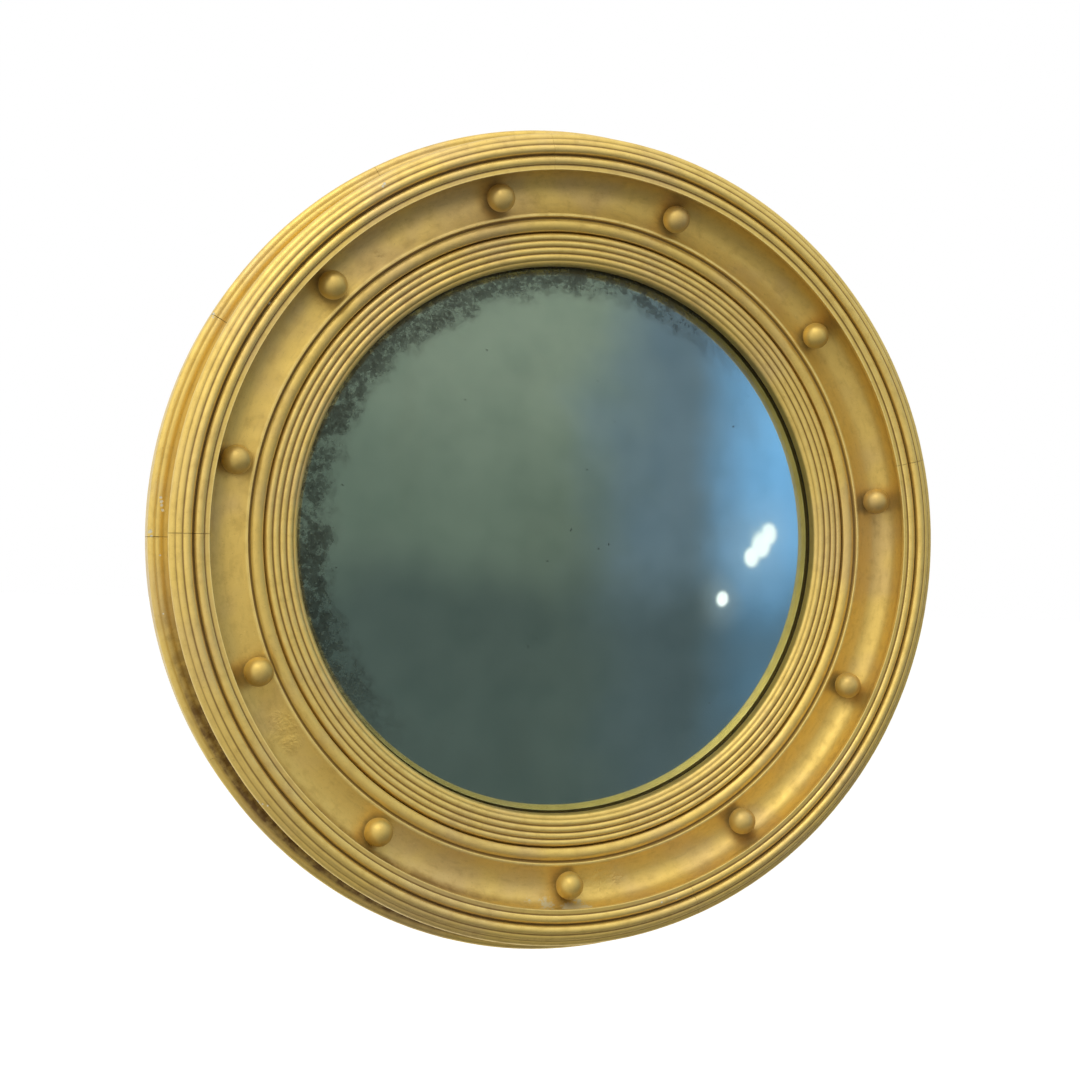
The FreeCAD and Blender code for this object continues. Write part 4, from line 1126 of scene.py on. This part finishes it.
def stand_camera(studio):
    """The camera at the photograph's viewing angle."""
    back = Vector((math.sin(studio.azimuth) * math.cos(studio.elevation),
                   -math.cos(studio.azimuth) * math.cos(studio.elevation),
                   math.sin(studio.elevation)))
    turn = Matrix.Rotation(studio.roll, 3, WALL_AXIS)
    back, up = turn @ back, turn @ Vector((0, 0, 1))
    right = up.cross(back).normalized()
    upright = back.cross(right)
    matrix = Matrix((right, upright, back)).transposed().to_4x4()
    matrix.translation = CAMERA_TARGET + back * studio.distance
    lens = bpy.data.cameras.new("camera")
    lens.sensor_width = 36
    lens.lens = studio.lens
    lens.shift_x, lens.shift_y = studio.shift_x, studio.shift_y
    lens.clip_start, lens.clip_end = 0.01, 60
    camera = linked("camera", lens)
    camera.matrix_world = matrix
    bpy.context.scene.camera = camera


# each lamp's name, place, width, watts and colour
LAMPS = (
    ("key_lamp", (-0.9, -1.25, 1.6), 1.25, 34, (1.0, 0.98, 0.94)),
    ("fill_lamp", (1.7, -1.5, 0.35), 1.2, 5, (0.82, 0.90, 1.0)),
)


def soft_lamp(name, place, width, watts, colour):
    """A square lamp that faces the mirror and isn't seen in it."""
    lamp = bpy.data.lights.new(name, "AREA")
    lamp.shape, lamp.size = "SQUARE", width
    lamp.energy, lamp.color = watts, colour
    stand = linked(name, lamp)
    stand.location = place
    stand.rotation_mode = "QUATERNION"
    stand.rotation_quaternion = (CAMERA_TARGET - Vector(place)).to_track_quat("-Z", "Y")
    stand.visible_glossy = stand.visible_transmission = False


def staged(name, shaped, material):
    """Put a bmesh into the studio as a thing that isn't part of the mirror."""
    piece = linked(name, meshed(name, shaped))
    piece.data.materials.append(material)
    return piece


# with the even light alone this brings the open floor to white, and leaves the shadow below it
FLOOR_WHITENESS = 0.69


def floor_finish():
    """A pale floor that keeps the mirror's shadow."""
    floor = Finish("pale_floor")
    speck = floor.noise(40, 3, 0.6)
    floor.set("Base Color", floor.mix(floor.span(speck, 0.3, 0.7), (0.80, 0.80, 0.79),
                                      (0.84, 0.84, 0.83)))
    floor.set("Roughness", 0.9)
    floor.set("Emission Color", (1, 1, 1))
    floor.set("Emission Strength", floor.product(
        floor.node("LightPath").outputs["Is Camera Ray"], FLOOR_WHITENESS))
    return floor.material


def light_world(strength):
    """An even, white studio all round, which is seen at full strength."""
    world = bpy.context.scene.world = bpy.data.worlds.new("studio")
    sky = Tree(world)
    path = sky.node("LightPath").outputs
    seen = sky.largest(path["Is Camera Ray"], path["Is Glossy Ray"], path["Is Transmission Ray"])
    light = sky.node("Background", {
        "Color": (1, 1, 1, 1), "Strength": sky.span(seen, 0, 1, strength, 1, smooth=False)})
    sky.node("OutputWorld", {"Surface": light.outputs[0]})


SCREEN_RADIUS = 2.6
SCREEN_EDGE = 0.3
# where the pale screen is brightest, how far that reaches and how much it adds
BRIGHT_PLACE, BRIGHT_REACH, BRIGHT_GAIN = (-1.05, -1.46, 1.87), 1.15, 1.6
# the pale screen's strength at its low right and high left ends
PALE_RANGE = (0.15, 1.46)
WARM_PALE, COOL_PALE = (1.0, 0.97, 0.91), (0.78, 0.86, 1.0)
SLATE, HIGH_SLATE, LOW_SLATE = (0.222, 0.258, 0.208), (0.367, 0.398, 0.315), (0.094, 0.118, 0.117)
SLATE_BLUE, BLUE = (0.215, 0.275, 0.345), (0.33, 0.68, 1.20)
# the places of the spots of glare on the screen, and how far each reaches
GLARE_PLACES = (((2.11, -1.52, 0.12), 0.075), ((2.07, -1.575, 0.05), 0.09),
                ((2.02, -1.635, -0.03), 0.07), ((1.86, -1.79, -0.31), 0.055))
GLARE_STRENGTH = 1.9


def screen_finish():
    """The studio's screen: pale for the gilding, and slate to blue where the glass shows it.

    Rays that have gone through the glass, or have been thrown back sharply by it, meet the slate
    and blue. All others meet the pale screen, which fades towards the low right.
    """
    screen = Finish("studio_screen")
    across, up = screen.sideways_and_up()
    drift = screen.product(screen.less(screen.noise(0.9, 3, 0.5), 0.5), 1.2)
    shown = screen.mix(screen.span(screen.total(up, drift), 0.2, 1.5), SLATE, HIGH_SLATE)
    shown = screen.mix(screen.span(screen.total(across, drift), 0.7, 1.5), shown, SLATE_BLUE)
    shown = screen.mix(screen.span(screen.total(across, screen.product(drift, 0.5)), 1.6, 2.2),
                       shown, BLUE)
    lower = screen.span(screen.total(up, screen.product(drift, 0.6)), 0.1, -0.6, 0.0, 0.75)
    shown = screen.mix(lower, shown, LOW_SLATE)
    spots = []
    for place, reach in GLARE_PLACES:
        away = screen.away_from(place)
        spots.append(screen.total(screen.span(away, reach * 1.2, reach * 0.6),
                                  screen.span(away, reach * 5, reach * 0.5, 0.0, 0.14)))
    glare = screen.largest(*spots)
    shown = screen.mix(screen.math("MINIMUM", glare, 1.0), shown, (1.0, 1.0, 1.0))
    height = screen.span(screen.less(up, screen.product(across, 0.5)), -2.0, 2.2, *PALE_RANGE,
                         smooth=False)
    height = screen.total(height, screen.span(
        screen.away_from(BRIGHT_PLACE), BRIGHT_REACH, 0.1, 0.0, BRIGHT_GAIN))
    pale = screen.mix(screen.span(across, 0.2, 2.2), WARM_PALE, COOL_PALE)
    path = screen.node("LightPath").outputs
    from_glass = screen.largest(path["Is Transmission Ray"], path["Is Singular Ray"])
    screen.nodes.remove(screen.shader)
    light = screen.node("Emission", {
        "Color": screen.mix(from_glass, pale, shown),
        "Strength": screen.span(from_glass, 0.0, 1.0, height,
                                screen.span(glare, 0.4, 1.0, 1.0, GLARE_STRENGTH), smooth=False)})
    screen.links.new(light.outputs[0], screen.output.inputs["Surface"])
    return screen.material


class MIRROR_OT_studio(bpy.types.Operator):
    """Set up the camera, floor, lamps and the screen that the mirror reflects"""

    bl_idname = "mirror.studio"
    bl_label = "Studio"

    def execute(self, context):
        studio = context.scene.mirror_studio
        context.scene.view_settings.view_transform = "Standard"
        stand_camera(studio)
        light_world(studio.world_light)
        for lamp in LAMPS:
            soft_lamp(*lamp)
        floor = bmesh.new()
        bmesh.ops.create_grid(floor, x_segments=1, y_segments=1, size=15,
                              matrix=Matrix.Translation((0, 0, studio.floor_level)))
        ground = staged("floor", floor, floor_finish())
        ground.visible_glossy = ground.visible_transmission = False
        dome = bmesh.new()
        bmesh.ops.create_uvsphere(dome, u_segments=64, v_segments=32, radius=SCREEN_RADIUS)
        bmesh.ops.bisect_plane(dome, geom=dome.verts[:] + dome.edges[:] + dome.faces[:],
                               plane_co=(0, SCREEN_EDGE, 0), plane_no=(0, 1, 0), clear_outer=True)
        screen = staged("screen", dome, screen_finish())
        screen.visible_camera = screen.visible_diffuse = False
        screen.visible_shadow = screen.visible_volume_scatter = False
        return {"FINISHED"}


OPERATORS = (
    MIRROR_OT_back_ring, MIRROR_OT_rim, MIRROR_OT_cove, MIRROR_OT_slip, MIRROR_OT_balls,
    MIRROR_OT_glass, MIRROR_OT_back, MIRROR_OT_studio,
)


class MIRROR_PT_panel(bpy.types.Panel):
    """Lists the steps and sizes of the mirror"""

    bl_idname = "MIRROR_PT_panel"
    bl_label = "Convex wall mirror"
    bl_space_type = "VIEW_3D"
    bl_region_type = "UI"
    bl_category = "Mirror"

    def draw(self, context):
        for operator in OPERATORS:
            self.layout.operator(operator.bl_idname)
        for group in (context.scene.mirror_frame, context.scene.mirror_gilt,
                      context.scene.mirror_glass, context.scene.mirror_studio):
            box = self.layout.box()
            for name in group.__annotations__:
                box.prop(group, name)


GROUPS = {
    "mirror_frame": FrameSizes, "mirror_gilt": GiltColours, "mirror_glass": GlassColours,
    "mirror_studio": StudioSettings,
}


def register():
    """Register the settings, the operators and the panel."""
    for part in (*GROUPS.values(), *OPERATORS, MIRROR_PT_panel):
        bpy.utils.register_class(part)
    for name, group in GROUPS.items():
        setattr(bpy.types.Scene, name, bpy.props.PointerProperty(type=group))


def unregister():
    """Take the panel, the operators and the settings away again."""
    for name in GROUPS:
        delattr(bpy.types.Scene, name)
    for part in (MIRROR_PT_panel, *reversed(OPERATORS), *reversed(GROUPS.values())):
        bpy.utils.unregister_class(part)


def main():
    """Build every piece and the studio."""
    register()
    for operator in OPERATORS:
        group, name = operator.bl_idname.split(".")
        getattr(getattr(bpy.ops, group), name)()


if __name__ == "__main__":
    main()
